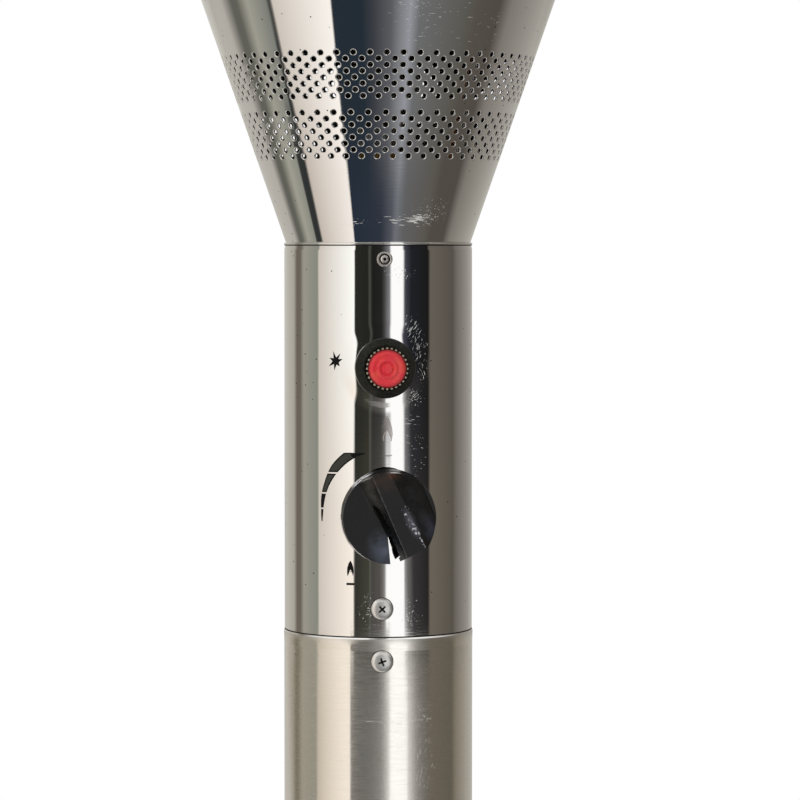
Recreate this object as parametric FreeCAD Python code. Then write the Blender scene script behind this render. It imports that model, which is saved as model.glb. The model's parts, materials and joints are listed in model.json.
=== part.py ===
"""Full-size gas patio heater: a weighted base with wheels, a lifting tank housing, a post, a polished control
neck, a flaring head cone, a burner under a perforated emitter and a spun reflector.

Millimetres, +Z up, front towards -Y. The origin is on the floor at the middle of the base.
"""

import FreeCAD, Part
import math
import os

os.makedirs("parts", exist_ok=True)

V = FreeCAD.Vector
ORIGIN = V(0, 0, 0)
UP = V(0, 0, 1)
BACK = V(0, 1, 0)
RIGHT = V(1, 0, 0)

# Driving dimensions in millimetres

# Clearances
FIT = 0.1            # radial room of a sleeve, socket or bolt that stays put
RUNNING = 0.05       # radial room of a shaft that turns or slides
BODY_GAP = 0.2       # the housing above its ledge at rest
BUTTON_ROOM = 0.15   # radial room round the button, which must not bind

# Directions round the post in degrees from +X, so the front is -90
FRONT = -90.0
THREE_FROM_FRONT = [FRONT, FRONT + 120.0, FRONT + 240.0]
THREE_FROM_REAR = [90.0, 210.0, 330.0]

# Base
LEDGE_WIDTH = 26.0     # how far the base reaches beyond the housing
BASE_SHEET = 1.5
LEDGE_HEIGHT = 24.0
DECK_RISE = 4.0
BASE_SHOULDER = 4.0
BASE_LIP = 7.0
STEP_ROOM = 0.7
BALLAST_ROOM = 3.5
BALLAST_BORE = 60.0
BALLAST_THICKNESS = 12.0
ANCHOR_HOLE = 9.0

# Legs that carry the post over the gas bottle
LEG_WIDTH = 38.0
LEG_THICKNESS = 3.0
LEG_INSET = 15.0       # from the housing's skin in to the leg's outer face
LEG_FOOT = 41.0
LEG_SHOULDER_HEIGHT = 540.0
LEG_SLOPE_HEIGHT = 90.0
LEG_TAB = 62.0
LEG_BEND = 8.0
FOOT_BOLT_INSET = 19.0
FOOT_BOLT = 8.0
FOOT_BOLT_HEAD = 5.3
FOOT_BOLT_FLATS = 13.0
FOOT_NUT = 6.0
TAB_BOLT = 6.0
SMALL_BOLT_HEAD = 4.0
SMALL_BOLT_FLATS = 10.0
SMALL_NUT = 5.0
BOLT_END = 1.5
POST_FOOT_RISE = 10.0

# Wheels
WHEEL_DIAMETER = 64.0
WHEEL_WIDTH = 20.0
TYRE_DEPTH = 9.0
WHEEL_LIFT = 3.0
WHEEL_TRACK = 178.0
AXLE_DIAMETER = 8.0
AXLE_OVERHANG = 20.0   # behind the base's rim
AXLE_END = 4.0
AXLE_CAP_WALL = 3.0
AXLE_CAP_END = 2.0
HUB_PROUD = 1.5
HUB_WALL = 4.0
HUB_WEB = 5.0
RIM_WALL = 3.0
WHEEL_PLAY = 0.5
TREAD_CORNER = 4.0
BRACKET_PLATE = 3.0
BRACKET_OVERHANG = 34.0
BRACKET_HALF_WIDTH = 76.5
EAR_RADIUS = 12.0
BRACKET_BOLT = 6.0
BRACKET_BOLT_OUT = 11.5    # from the housing's skin
BRACKET_BOLT_SPREAD = 14.0

# Post
POST_DIAMETER = 76.6
POST_LENGTH = 957.0
SOCKET_WALL = 2.6
SOCKET_ABOVE = 56.0
SOCKET_BELOW = 36.0
SOCKET_LEDGE = 4.0
SOCKET_LEDGE_BORE = 66.0
POST_SCREW_DROP = 9.0
POST_CRIMP = 0.3
POST_CRIMP_HEIGHT = 1.6

# Tank housing
HOUSING_DIAMETER = 408.0
HOUSING_SHEET = 0.8
HOUSING_HEIGHT = 728.0
HOUSING_BEAD = 2.5
HOUSING_BEAD_RISE = 46.0
LID_SKIRT = 14.0
LID_RISE = 54.0
COLLAR_HEIGHT = 24.0
COLLAR_RADIUS = 46.0
BUSH_ROOM = 0.7
BUSH_HEIGHT = 20.0
VENT_LENGTH = 44.0
VENT_WIDTH = 9.0
VENT_COUNT = 6
VENT_EDGE = 84.0
LID_RIVET_COUNT = 4

# Neck with the controls
NECK_DIAMETER = 76.2
NECK_LENGTH = 156.7
NECK_WALL = 0.8
NECK_CRIMP = 0.4
NECK_CRIMP_HEIGHT = 2.4
SLEEVE_WALL = 1.5
SLEEVE_BELOW = 35.0
SLEEVE_ABOVE = 24.0
NECK_SCREW_RISE = 12.0
SCREW_HEAD = 9.4
SCREW_HEAD_HEIGHT = 2.4
SCREW_SHANK = 4.8
RIVET_DROP = 6.0
RIVET_FLANGE = 6.3
RIVET_SHANK = 3.2
RIVET_HEIGHT = 1.0

# Gas valve, on the knob's axis
KNOB_DROP = 107.1
STEM_HOLE = 14.0
PLATE_THICKNESS = 1.6
PLATE_WIDTH = 30.0
PLATE_HEIGHT = 44.0
BONNET_THICKNESS = 3.0
VALVE_WIDTH = 24.0
VALVE_HEIGHT = 34.0
VALVE_DEPTH = 60.0
VALVE_SCREW = 4.0
VALVE_SCREW_OFFSET = 12.5
VALVE_SCREW_LENGTH = 14.0
VALVE_SCREW_HEAD = 7.2
VALVE_SCREW_HEAD_HEIGHT = 2.0
VALVE_CORNER = 4.0
PLUG_DIAMETER = 16.0
PLUG_LENGTH = 28.0
STEM_DIAMETER = 8.0
STEM_SPRING = 12.0
STEM_ROOM = 0.2
SPRING_ROOM = 0.4
SPRING_WIRE = 1.2
PLUG_END = 5.0
INLET_BEHIND = 10.0
INLET_BOSS = 8.0
INLET_HEX = 19.0
INLET_HEX_HEIGHT = 8.0
INLET_THREAD = 15.9
INLET_THREAD_LENGTH = 14.0
INLET_BORE = 8.0
OUTLET_BEHIND = 27.0
OUTLET_BOSS = 4.0
OUTLET_WALL = 2.0
SIDE_PORT = 6.0
SIDE_PORT_DIAMETER = 9.0
PILOT_PORT_BEHIND = -10.0
SENSOR_PORT_BEHIND = 12.0
TILT_SWITCH_SIZE = (16.0, 18.0, 24.0)
TILT_SWITCH_CORNER = 1.5

# Knob, with its grip bar at eleven o'clock
KNOB_DIAMETER = 38.6
KNOB_TOP_DIAMETER = 37.2
KNOB_SKIRT = 6.5
KNOB_STAND_OFF = 4.9
KNOB_WALL = 2.0
KNOB_HOLLOW = 3.5
KNOB_HUB = 13.0
KNOB_EDGE = 0.5
GRIP_HEIGHT = 10.0
GRIP_LEAN = -25.0
# Where the bar's edges lie right of the knob's middle, at its lower and at its upper end
GRIP_LEFT_FOOT = (-4.2, -4.2)
GRIP_LEFT_TOP = (-1.5, 0.9)
GRIP_RIGHT_TOP = (8.3, 6.6)
GRIP_RIGHT_FOOT = (11.5, 17.0)
# The notch left of the bar, which opens right through the disc toward the rim
NOTCH_HEAD = 7.5
NOTCH_BEND = 2.0
NOTCH_WALL = 1.5
NOTCH_OPEN = 6.6
NOTCH_SPREAD = 4.6
NOTCH_FLOOR = 2.0

# Push-button igniter
IGNITER_DROP = 49.0
BARREL_DIAMETER = 18.0
BARREL_BEHIND = 44.0
BEZEL_DIAMETER = 24.4
BEZEL_RIM = 3.0
BEZEL_HEIGHT = 8.4
BEZEL_MOUTH = 18.6
BUTTON_DIAMETER = 15.8
BUTTON_LENGTH = 14.0
BUTTON_PROUD = 1.6
BUTTON_CROWN = 0.9
BUTTON_RING_RADIUS = 2.4
BUTTON_RING_WIDTH = 1.4
BUTTON_RING_RELIEF = 0.2
BUTTON_EDGE = 1.2
IGNITER_SPRING = 10.0
IGNITER_SPRING_ROOM = 2.0
IGNITER_SPRING_WIRE = 1.5
CAP_RING_DIAMETER = 17.4
CAP_RING_HEIGHT = 4.6
CAP_RING_PROUD = 1.0
CAP_RING_TEETH = 28
CAP_RING_TOOTH = 0.45
NUT_ACROSS_FLATS = 23.0
NUT_THICKNESS = 6.0

# Head cone
CONE_FOOT_DIAMETER = 74.5
CONE_LIP_HEIGHT = 0.6
CONE_HALF_ANGLE = 19.2
CONE_SHEET = 0.8
CONE_SPIGOT = 14.0
CONE_BAND = 14.0

# Burner
EMITTER_BAND_DIAMETER = 203.0
RISER_DIAMETER = 10.0
INJECTOR_RISE = 30.0
INJECTOR_HEIGHT = 14.0
INJECTOR_TIP = 8.0
INJECTOR_HEX = 14.0
BURNER_COLLAR_RADIUS = 9.0
BURNER_COLLAR = 10.0
BURNER_MOUTH = 18.0
BURNER_MOUTH_RISE = 14.0
BURNER_THROAT = 12.0
BURNER_THROAT_RISE = 24.0
BURNER_TOP_RADIUS = 30.0
BURNER_WALL = 1.2
BURNER_FLANGE = 8.0
AIR_WINDOW = 9.0
BURNER_PLATE = 1.2
HEAD_RADIUS = 46.0
HEAD_HEIGHT = 26.0
HEAD_CROWN = 9.0
HEAD_SLOTS = 12
HEAD_SLOT = 4.0
HEAD_SLOT_FOOT = 6.0
HEAD_SLOT_TOP = 4.0

# Pilot flame, flame sensor and spark gap, on one bracket to the right of the burner
PILOT_REACH = 60.0
PILOT_SIDE = -12.0
SENSOR_SIDE = 12.0
SPARK_REACH = 72.0
SPARK_SIDE = 0.0
PILOT_TUBE = 4.0
SENSOR_LEAD = 3.0
SPARK_LEAD = 3.0
LEAD_REACH = 27.0
PILOT_HOOD = 11.0
PILOT_HEIGHT = 24.0
SENSOR_TIP = 5.0
SENSOR_HEIGHT = 28.0
SENSOR_ROOT = 8.0
CERAMIC = 7.0
CERAMIC_HEIGHT = 26.0
CERAMIC_BELOW = 14.0
SPARK_WIRE = 1.6
PILOT_WALL = 1.2
PILOT_WINDOW = 5.0
LEAD_BEHIND = 9.0
LEAD_BESIDE = 10.0
LEAD_RISE = 20.0
LEAD_CLEAR = 30.0      # straight stretch of a lead past the neck's top and before the bracket
PILOT_BRACKET = (34.0, 42.0, 1.5)

# Emitter and reflector
EMITTER_SHEET = 0.8
EMITTER_HEIGHT = 210.0
EMITTER_SCREW_RISE = 8.0
CAP_RIM = 12.0
CAP_ROOM = 0.2
STUD_DIAMETER = 6.0
STUD_CIRCLE = 120.0
STUD_INSIDE = 6.0
STUD_ABOVE = 16.0
STUD_HEAD = 4.0
STUD_HEAD_FLATS = 10.0
SPACER_DIAMETER = 12.0
REFLECTOR_GAP = 38.0
REFLECTOR_DIAMETER = 812.0
REFLECTOR_SHEET = 1.0
REFLECTOR_FLAT = 160.0
REFLECTOR_DROP = 86.0
REFLECTOR_RINGS = 5
REFLECTOR_LIP = 6.0
WING_NUT_HEIGHT = 6.0
WING_NUT_DIAMETER = 11.0
WING_THICKNESS = 2.4
WASHER_DIAMETER = 16.0
WASHER_THICKNESS = 1.2
WING_SPAN = 24.0
WING_HEIGHT = 12.0

# Heights and radii worked out from the driving dimensions

HOUSING_RADIUS = HOUSING_DIAMETER / 2
BASE_RADIUS = HOUSING_RADIUS + LEDGE_WIDTH
STEP_RADIUS = HOUSING_RADIUS - HOUSING_SHEET - STEP_ROOM
DECK_RADIUS = STEP_RADIUS - DECK_RISE
DECK_HEIGHT = LEDGE_HEIGHT + DECK_RISE
ANCHOR_RADIUS = HOUSING_RADIUS + LEDGE_WIDTH / 2
LEG_RADIUS = HOUSING_RADIUS - LEG_INSET
FOOT_BOLT_RADIUS = LEG_RADIUS - FOOT_BOLT_INSET
AXLE_BEHIND = BASE_RADIUS + AXLE_OVERHANG
BRACKET_REACH = BASE_RADIUS + BRACKET_OVERHANG
BRACKET_BOLT_RADIUS = HOUSING_RADIUS + BRACKET_BOLT_OUT
HOUSING_FOOT = LEDGE_HEIGHT + BODY_GAP
HOUSING_TOP = HOUSING_FOOT + HOUSING_HEIGHT
POST_RADIUS = POST_DIAMETER / 2
SOCKET_BORE = POST_RADIUS + FIT
SOCKET_RADIUS = SOCKET_BORE + SOCKET_WALL
LEG_TOP_RADIUS = SOCKET_RADIUS + LEG_THICKNESS
POST_FOOT = LEG_SHOULDER_HEIGHT + LEG_SLOPE_HEIGHT + POST_FOOT_RISE
NECK_FOOT = POST_FOOT + POST_LENGTH
NECK_TOP = NECK_FOOT + NECK_LENGTH
NECK_RADIUS = NECK_DIAMETER / 2
NECK_BORE = NECK_RADIUS - NECK_WALL
POST_BORE = NECK_BORE
SLEEVE_RADIUS = NECK_BORE - FIT
SLEEVE_BORE = SLEEVE_RADIUS - SLEEVE_WALL
CONE_FOOT_RADIUS = CONE_FOOT_DIAMETER / 2
CONE_TANGENT = math.tan(math.radians(CONE_HALF_ANGLE))
CONE_WALL_ACROSS = CONE_SHEET / math.cos(math.radians(CONE_HALF_ANGLE))
BAND_RADIUS = EMITTER_BAND_DIAMETER / 2
BAND_BORE = BAND_RADIUS - CONE_SHEET
CONE_TOP = NECK_TOP + (BAND_RADIUS - CONE_FOOT_RADIUS) / CONE_TANGENT
EMITTER_RADIUS = BAND_BORE - FIT
EMITTER_BORE = EMITTER_RADIUS - EMITTER_SHEET
EMITTER_FOOT = CONE_TOP + BURNER_PLATE
EMITTER_TOP = EMITTER_FOOT + EMITTER_HEIGHT
CAP_TOP = EMITTER_TOP + EMITTER_SHEET
REFLECTOR_UNDER = CAP_TOP + REFLECTOR_GAP
REFLECTOR_TOP = REFLECTOR_UNDER + REFLECTOR_SHEET
VALVE_Z = NECK_TOP - KNOB_DROP
IGNITER_Z = NECK_TOP - IGNITER_DROP
STEM_RADIUS = STEM_DIAMETER / 2
SCREW_HOLE = SCREW_SHANK / 2 + FIT
RIVET_HOLE = RIVET_SHANK / 2 + FIT


# Shapes

def closed(outline):
    """A face from a closed outline of points."""
    return Part.Face(Part.makePolygon(outline + outline[:1]))


def outward(solid):
    """The solid with its faces looking outwards."""
    if solid.Volume < 0:
        solid.reverse()
    return solid


def spin(outline, x=0.0, y=0.0):
    """A turned solid about the upright line at x, y, from (radius, height) points."""
    face = closed([V(x + r, y, z) for r, z in outline])
    return outward(face.revolve(V(x, y, 0), UP, 360))


def spin_front(outline, height):
    """A turned solid about the front-to-back line at a height, from (radius, y) points."""
    face = closed([V(r, y, height) for r, y in outline])
    return outward(face.revolve(V(0, 0, height), BACK, 360))


def beside(points, distance):
    """An open line moved to its left by a distance, with mitred corners."""
    lines = []
    for (a, b), (c, d) in zip(points, points[1:]):
        length = math.hypot(c - a, d - b)
        across = (-(d - b) / length * distance, (c - a) / length * distance)
        lines.append(((a + across[0], b + across[1]), (c - a, d - b)))
    moved = [lines[0][0]]
    for ((a, b), (u, v)), ((c, d), (s, t)) in zip(lines, lines[1:]):
        along = ((c - a) * t - (d - b) * s) / (u * t - v * s)
        moved.append((a + u * along, b + v * along))
    (a, b), (u, v) = lines[-1]
    moved.append((a + u, b + v))
    return moved


def sheet_outline(points, thickness):
    """The outline of a bent sheet whose one skin follows the points and whose wall lies to their left."""
    return points + beside(points, thickness)[::-1]


def post_solid(radius, bottom, top, x=0.0, y=0.0):
    """An upright cylinder."""
    return Part.makeCylinder(radius, top - bottom, V(x, y, bottom), UP)


def pipe(radius, bore, bottom, top, x=0.0, y=0.0):
    """An upright tube."""
    return post_solid(radius, bottom, top, x, y).cut(post_solid(bore, bottom, top, x, y))


def front_rod(radius, front, back, height, x=0.0):
    """A cylinder from front to back."""
    return Part.makeCylinder(radius, back - front, V(x, front, height), BACK)


def radial_rod(radius, inner, outer, height, angle):
    """A cylinder that points away from the post's axis."""
    rod = Part.makeCylinder(radius, outer - inner, V(inner, 0, height), RIGHT)
    return turned(rod, angle)


def turned(shape, angle):
    """A copy turned about the post's axis."""
    copy = shape.copy()
    copy.rotate(ORIGIN, UP, angle)
    return copy


def block(low, high):
    """A box between two corners."""
    return Part.makeBox(high[0] - low[0], high[1] - low[1], high[2] - low[2], V(*low))


def hexagon(across_flats, thickness):
    """A hexagonal prism that stands on the origin."""
    corner = across_flats / math.sqrt(3)
    points = [
        V(corner * math.cos(math.radians(60 * i)), corner * math.sin(math.radians(60 * i)), 0)
        for i in range(6)
    ]
    return closed(points).extrude(V(0, 0, thickness))


def moved(shape, x, y, z):
    """A copy moved by x, y, z."""
    copy = shape.copy()
    copy.translate(V(x, y, z))
    return copy


def joined(first, *others):
    """One solid from pieces that overlap."""
    return first.fuse(list(others)).removeSplitter()


def group(solids):
    """Separate solids in one node."""
    return Part.makeCompound(solids)


def bent_rod(points, radius):
    """A round rod along straight runs joined by tangent arcs, each as large as its runs allow."""
    corners = [V(*p) for p in points]
    edges = []
    start = corners[0]
    for before, corner, after in zip(corners, corners[1:], corners[2:]):
        to_before = (before - corner).normalize()
        to_after = (after - corner).normalize()
        half = math.acos(max(-1.0, min(1.0, to_before.dot(to_after)))) / 2
        reach = 0.45 * min((before - corner).Length, (after - corner).Length)
        enter = corner + to_before * reach
        leave = corner + to_after * reach
        bisector = (to_before + to_after).normalize()
        arc_radius = reach * math.tan(half)
        middle = corner + bisector * (reach / math.cos(half) - arc_radius)
        edges.append(Part.LineSegment(start, enter).toShape())
        edges.append(Part.Arc(enter, middle, leave).toShape())
        start = leave
    edges.append(Part.LineSegment(start, corners[-1]).toShape())
    path = Part.Wire(edges)
    first_way = corners[1] - corners[0]
    section = Part.Wire(Part.makeCircle(radius, corners[0], first_way))
    return outward(path.makePipeShell([section], True, False))


def hex_bolt(shank, length, head, across_flats):
    """A bolt with its head's seat at the origin and its shank down."""
    return joined(hexagon(across_flats, head), post_solid(shank, -length, 0.2))


def hex_nut(across_flats, thickness, bore):
    """A nut that stands on the origin."""
    return hexagon(across_flats, thickness).cut(post_solid(bore, 0, thickness))


def pan_screw(seat, tip, height, angle):
    """A pan-head screw that points at the post's axis, with its head on a tube of radius seat."""
    head = SCREW_HEAD / 2
    edge = SCREW_HEAD_HEIGHT / 2
    outline = [
        (0, tip), (SCREW_SHANK / 2, tip), (SCREW_SHANK / 2, seat), (head, seat), (head, seat + edge),
        (head - edge, seat + SCREW_HEAD_HEIGHT), (0, seat + SCREW_HEAD_HEIGHT),
    ]
    return radial_spin(outline, height, angle)


def radial_spin(outline, height, angle):
    """A turned solid about a line that points away from the post's axis, from (radius, reach) points."""
    face = closed([V(reach, 0, height + r) for r, reach in outline])
    solid = outward(face.revolve(V(0, 0, height), RIGHT, 360))
    return turned(solid, angle)


def blind_rivet(seat, tip, height, angle):
    """A blind rivet with its hollow flange on a tube of radius seat and its bulb inside at radius tip."""
    flange = RIVET_FLANGE / 2
    shank = RIVET_SHANK / 2
    bore = shank / 2
    outline = [
        (0, tip), (shank, tip), (shank, seat), (flange, seat), (flange, seat + RIVET_HEIGHT / 2),
        (shank, seat + RIVET_HEIGHT), (bore, seat + RIVET_HEIGHT), (bore, seat), (0, seat),
    ]
    return radial_spin(outline, height, angle)


# Base

def base_pan():
    """The pressed pan: a turned-in lip, a wall, the ledge that the housing stands on, and the raised deck."""
    skin = [
        (BASE_RADIUS - BASE_LIP, 0),
        (BASE_RADIUS, 0),
        (BASE_RADIUS, LEDGE_HEIGHT - BASE_SHOULDER),
        (BASE_RADIUS - BASE_SHOULDER, LEDGE_HEIGHT),
        (STEP_RADIUS, LEDGE_HEIGHT),
        (DECK_RADIUS, DECK_HEIGHT),
        (0, DECK_HEIGHT),
    ]
    pan = spin(sheet_outline(skin, BASE_SHEET))
    holes = [foot_bolt_hole(angle) for angle in THREE_FROM_REAR]
    for angle in THREE_FROM_FRONT:
        hole = post_solid(ANCHOR_HOLE / 2, LEDGE_HEIGHT - 2 * BASE_SHEET, LEDGE_HEIGHT + 1, ANCHOR_RADIUS)
        holes.append(turned(hole, angle))
    for angle in bracket_bolt_angles():
        hole = post_solid(BRACKET_BOLT / 2 + FIT, LEDGE_HEIGHT - 2 * BASE_SHEET, LEDGE_HEIGHT + 1,
                          BRACKET_BOLT_RADIUS)
        holes.append(turned(hole, angle))
    return pan.cut(holes)


def foot_bolt_hole(angle):
    """The hole for a leg's foot bolt, through foot, deck and ballast."""
    hole = post_solid(FOOT_BOLT / 2 + FIT, 0, DECK_HEIGHT + 2 * LEG_THICKNESS, FOOT_BOLT_RADIUS)
    return turned(hole, angle)


def base_ballast():
    """The steel weight under the deck."""
    top = DECK_HEIGHT - BASE_SHEET
    plate = pipe(DECK_RADIUS - BALLAST_ROOM, BALLAST_BORE / 2, top - BALLAST_THICKNESS, top)
    return plate.cut([foot_bolt_hole(angle) for angle in THREE_FROM_REAR])


def leg(angle):
    """A flat strap that stands on the deck, runs up beside the bottle and leans in to the post socket."""
    shoulder = LEG_SHOULDER_HEIGHT
    slope_top = shoulder + LEG_SLOPE_HEIGHT
    skin = [
        (LEG_RADIUS - LEG_FOOT, DECK_HEIGHT),
        (LEG_RADIUS, DECK_HEIGHT),
        (LEG_RADIUS, shoulder),
        (LEG_TOP_RADIUS, slope_top),
        (LEG_TOP_RADIUS, slope_top + LEG_TAB),
    ]
    outline = sheet_outline(skin, LEG_THICKNESS)
    face = closed([V(r, -LEG_WIDTH / 2, z) for r, z in outline])
    strap = outward(face.extrude(V(0, LEG_WIDTH, 0)))
    inner = beside(skin, LEG_THICKNESS)
    strap = rounded_bends(strap, skin[1:-1], inner[1:-1])
    tab_holes = [radial_rod(TAB_BOLT / 2 + FIT, SOCKET_RADIUS - 1, LEG_TOP_RADIUS + 1, z, 0)
                 for z in tab_bolt_heights()]
    return turned(strap.cut(tab_holes), angle).cut(foot_bolt_hole(angle))


def rounded_bends(strap, outer_corners, inner_corners):
    """The strap with an arc at each bend, its two skins about one centre."""
    convex = {0: True, 1: True, 2: False}
    for radius_outer in (True, False):
        edges = []
        for i, (outer, inner) in enumerate(zip(outer_corners, inner_corners)):
            wide = outer if convex[i] == radius_outer else inner
            edges += [e for e in strap.Edges if along_y_at(e, wide)]
        radius = LEG_BEND + LEG_THICKNESS if radius_outer else LEG_BEND
        strap = strap.makeFillet(radius, edges)
    return strap


def along_y_at(edge, corner):
    """Whether an edge runs across the strap at a corner (radius, height)."""
    if len(edge.Vertexes) != 2:
        return False
    return all(abs(v.X - corner[0]) < 0.01 and abs(v.Z - corner[1]) < 0.01 for v in edge.Vertexes)


def tab_bolt_heights():
    """The two bolts that hold a leg's tab to the socket."""
    middle = LEG_SHOULDER_HEIGHT + LEG_SLOPE_HEIGHT + LEG_TAB / 2
    return [middle - LEG_TAB / 5, middle + LEG_TAB / 3]


def leg_foot_bolts():
    """Bolts down through the feet, deck and ballast, with their nuts below."""
    solids = []
    ballast_foot = DECK_HEIGHT - BASE_SHEET - BALLAST_THICKNESS
    seat = DECK_HEIGHT + LEG_THICKNESS
    for angle in THREE_FROM_REAR:
        bolt = hex_bolt(FOOT_BOLT / 2, seat - ballast_foot + FOOT_NUT + BOLT_END, FOOT_BOLT_HEAD, FOOT_BOLT_FLATS)
        solids.append(turned(moved(bolt, FOOT_BOLT_RADIUS, 0, seat), angle))
        fastener = hex_nut(FOOT_BOLT_FLATS, FOOT_NUT, FOOT_BOLT / 2 + RUNNING)
        solids.append(turned(moved(fastener, FOOT_BOLT_RADIUS, 0, ballast_foot - FOOT_NUT), angle))
    return group(solids)


def leg_tab_bolts():
    """Bolts from outside through the tabs into the socket's wall."""
    solids = []
    for angle in THREE_FROM_REAR:
        for z in tab_bolt_heights():
            bolt = hex_bolt(TAB_BOLT / 2, LEG_TOP_RADIUS - SOCKET_BORE - FIT, SMALL_BOLT_HEAD, SMALL_BOLT_FLATS)
            bolt.rotate(ORIGIN, BACK, 90)
            solids.append(turned(moved(bolt, LEG_TOP_RADIUS, 0, z), angle))
    return group(solids)


def post_socket():
    """The cup that the legs meet at, with an inner ledge under the post and an open way down for the hose."""
    socket = spin([
        (SOCKET_BORE, POST_FOOT), (SOCKET_BORE, POST_FOOT + SOCKET_ABOVE),
        (SOCKET_RADIUS, POST_FOOT + SOCKET_ABOVE), (SOCKET_RADIUS, POST_FOOT - SOCKET_BELOW),
        (SOCKET_BORE, POST_FOOT - SOCKET_BELOW), (SOCKET_BORE, POST_FOOT - SOCKET_LEDGE),
        (SOCKET_LEDGE_BORE / 2, POST_FOOT - SOCKET_LEDGE), (SOCKET_LEDGE_BORE / 2, POST_FOOT),
    ])
    holes = [radial_rod(TAB_BOLT / 2 + FIT, SOCKET_BORE - 2, SOCKET_RADIUS + 1, z, angle)
             for angle in THREE_FROM_REAR for z in tab_bolt_heights()]
    return socket.cut(holes)


# Wheels

AXLE_HEIGHT = WHEEL_DIAMETER / 2 + WHEEL_LIFT
WHEEL_MIDDLE = WHEEL_TRACK / 2
HUB_HALF = WHEEL_WIDTH / 2 + HUB_PROUD
AXLE_HALF = WHEEL_MIDDLE + HUB_HALF + AXLE_END


def bracket_bolt_angles():
    """The two bolts that hold the wheel bracket on the ledge."""
    return [90.0 - BRACKET_BOLT_SPREAD, 90.0 + BRACKET_BOLT_SPREAD]


def wheel_bracket():
    """A plate on the rear of the ledge with two ears that hold the axle behind the base."""
    inside = HOUSING_RADIUS + HOUSING_BEAD
    top = LEDGE_HEIGHT + BRACKET_PLATE
    plate = pipe(BRACKET_REACH, inside, LEDGE_HEIGHT, top)
    half = BRACKET_HALF_WIDTH
    plate = plate.common(block((-half, BASE_RADIUS / 2, 0), (half, 2 * BRACKET_REACH, 2 * top)))
    pieces = []
    for side in (-1, 1):
        low = min(side * half, side * (half - BRACKET_PLATE))
        ear = block((low, AXLE_BEHIND - EAR_RADIUS, LEDGE_HEIGHT),
                    (low + BRACKET_PLATE, AXLE_BEHIND + EAR_RADIUS, AXLE_HEIGHT))
        crown = Part.makeCylinder(EAR_RADIUS, BRACKET_PLATE, V(low, AXLE_BEHIND, AXLE_HEIGHT), RIGHT)
        pieces += [ear, crown.common(block((low, 0, LEDGE_HEIGHT), (low + BRACKET_PLATE, 2 * BRACKET_REACH,
                                                                   2 * WHEEL_DIAMETER)))]
    bracket = joined(plate, *pieces)
    bore = Part.makeCylinder(AXLE_DIAMETER / 2 + FIT, 2 * AXLE_HALF, V(-AXLE_HALF, AXLE_BEHIND, AXLE_HEIGHT),
                             RIGHT)
    holes = [turned(post_solid(BRACKET_BOLT / 2 + FIT, 0, 2 * top, BRACKET_BOLT_RADIUS), angle)
             for angle in bracket_bolt_angles()]
    return bracket.cut([bore] + holes)


def wheel_bracket_bolts():
    """Bolts down through the bracket and the ledge, with their nuts below."""
    solids = []
    seat = LEDGE_HEIGHT + BRACKET_PLATE
    under = LEDGE_HEIGHT - BASE_SHEET
    for angle in bracket_bolt_angles():
        bolt = hex_bolt(BRACKET_BOLT / 2, seat - under + SMALL_NUT + BOLT_END, SMALL_BOLT_HEAD, SMALL_BOLT_FLATS)
        solids.append(turned(moved(bolt, BRACKET_BOLT_RADIUS, 0, seat), angle))
        fastener = hex_nut(SMALL_BOLT_FLATS, SMALL_NUT, BRACKET_BOLT / 2 + RUNNING)
        solids.append(turned(moved(fastener, BRACKET_BOLT_RADIUS, 0, under - SMALL_NUT), angle))
    return group(solids)


def across(radius, left, right):
    """A cylinder along the axle's line."""
    return Part.makeCylinder(radius, right - left, V(left, AXLE_BEHIND, AXLE_HEIGHT), RIGHT)


def axle_spin(outline):
    """A turned solid about the axle's line, from (radius, x) points."""
    face = closed([V(x, AXLE_BEHIND, AXLE_HEIGHT + r) for r, x in outline])
    return outward(face.revolve(V(0, AXLE_BEHIND, AXLE_HEIGHT), RIGHT, 360))


def wheel_axle():
    """The fixed steel axle."""
    return across(AXLE_DIAMETER / 2, -AXLE_HALF, AXLE_HALF)


def axle_caps():
    """Push-on caps that keep the wheels on."""
    radius = AXLE_DIAMETER / 2
    outside = radius + AXLE_CAP_WALL
    start = WHEEL_MIDDLE + HUB_HALF + WHEEL_PLAY
    end = AXLE_HALF + AXLE_CAP_END
    cap = [(radius + RUNNING, start), (outside, start), (outside, end - AXLE_CAP_END / 2),
           (outside - AXLE_CAP_END, end), (0, end), (0, AXLE_HALF + RUNNING),
           (radius + RUNNING, AXLE_HALF + RUNNING)]
    return group([axle_spin(cap), axle_spin([(r, -x) for r, x in cap])])


def wheel_hub(side):
    """A moulded wheel centre: bored hub, thin web and rim."""
    rim = WHEEL_DIAMETER / 2 - TYRE_DEPTH
    bore = AXLE_DIAMETER / 2 + RUNNING
    half = WHEEL_WIDTH / 2 - HUB_PROUD
    hub = bore + HUB_WALL
    web = HUB_WEB / 2
    inside = rim - RIM_WALL
    outline = [
        (bore, -HUB_HALF), (hub, -HUB_HALF), (hub, -web), (inside, -web), (inside, -half), (rim, -half),
        (rim, half), (inside, half), (inside, web), (hub, web), (hub, HUB_HALF), (bore, HUB_HALF),
    ]
    return axle_spin([(r, side * WHEEL_MIDDLE + x) for r, x in outline])


def wheel_tyre(side):
    """A rubber tyre with a crowned tread."""
    rim = WHEEL_DIAMETER / 2 - TYRE_DEPTH + FIT
    tread = WHEEL_DIAMETER / 2
    half = WHEEL_WIDTH / 2
    corner = TREAD_CORNER
    outline = [
        (rim, -half + corner / 4), (tread - corner, -half), (tread - corner / 4, -half + corner / 2),
        (tread, -half + corner), (tread, half - corner), (tread - corner / 4, half - corner / 2),
        (tread - corner, half), (rim, half - corner / 4),
    ]
    return axle_spin([(r, side * WHEEL_MIDDLE + x) for r, x in outline])


# Tank housing, which lifts

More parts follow.
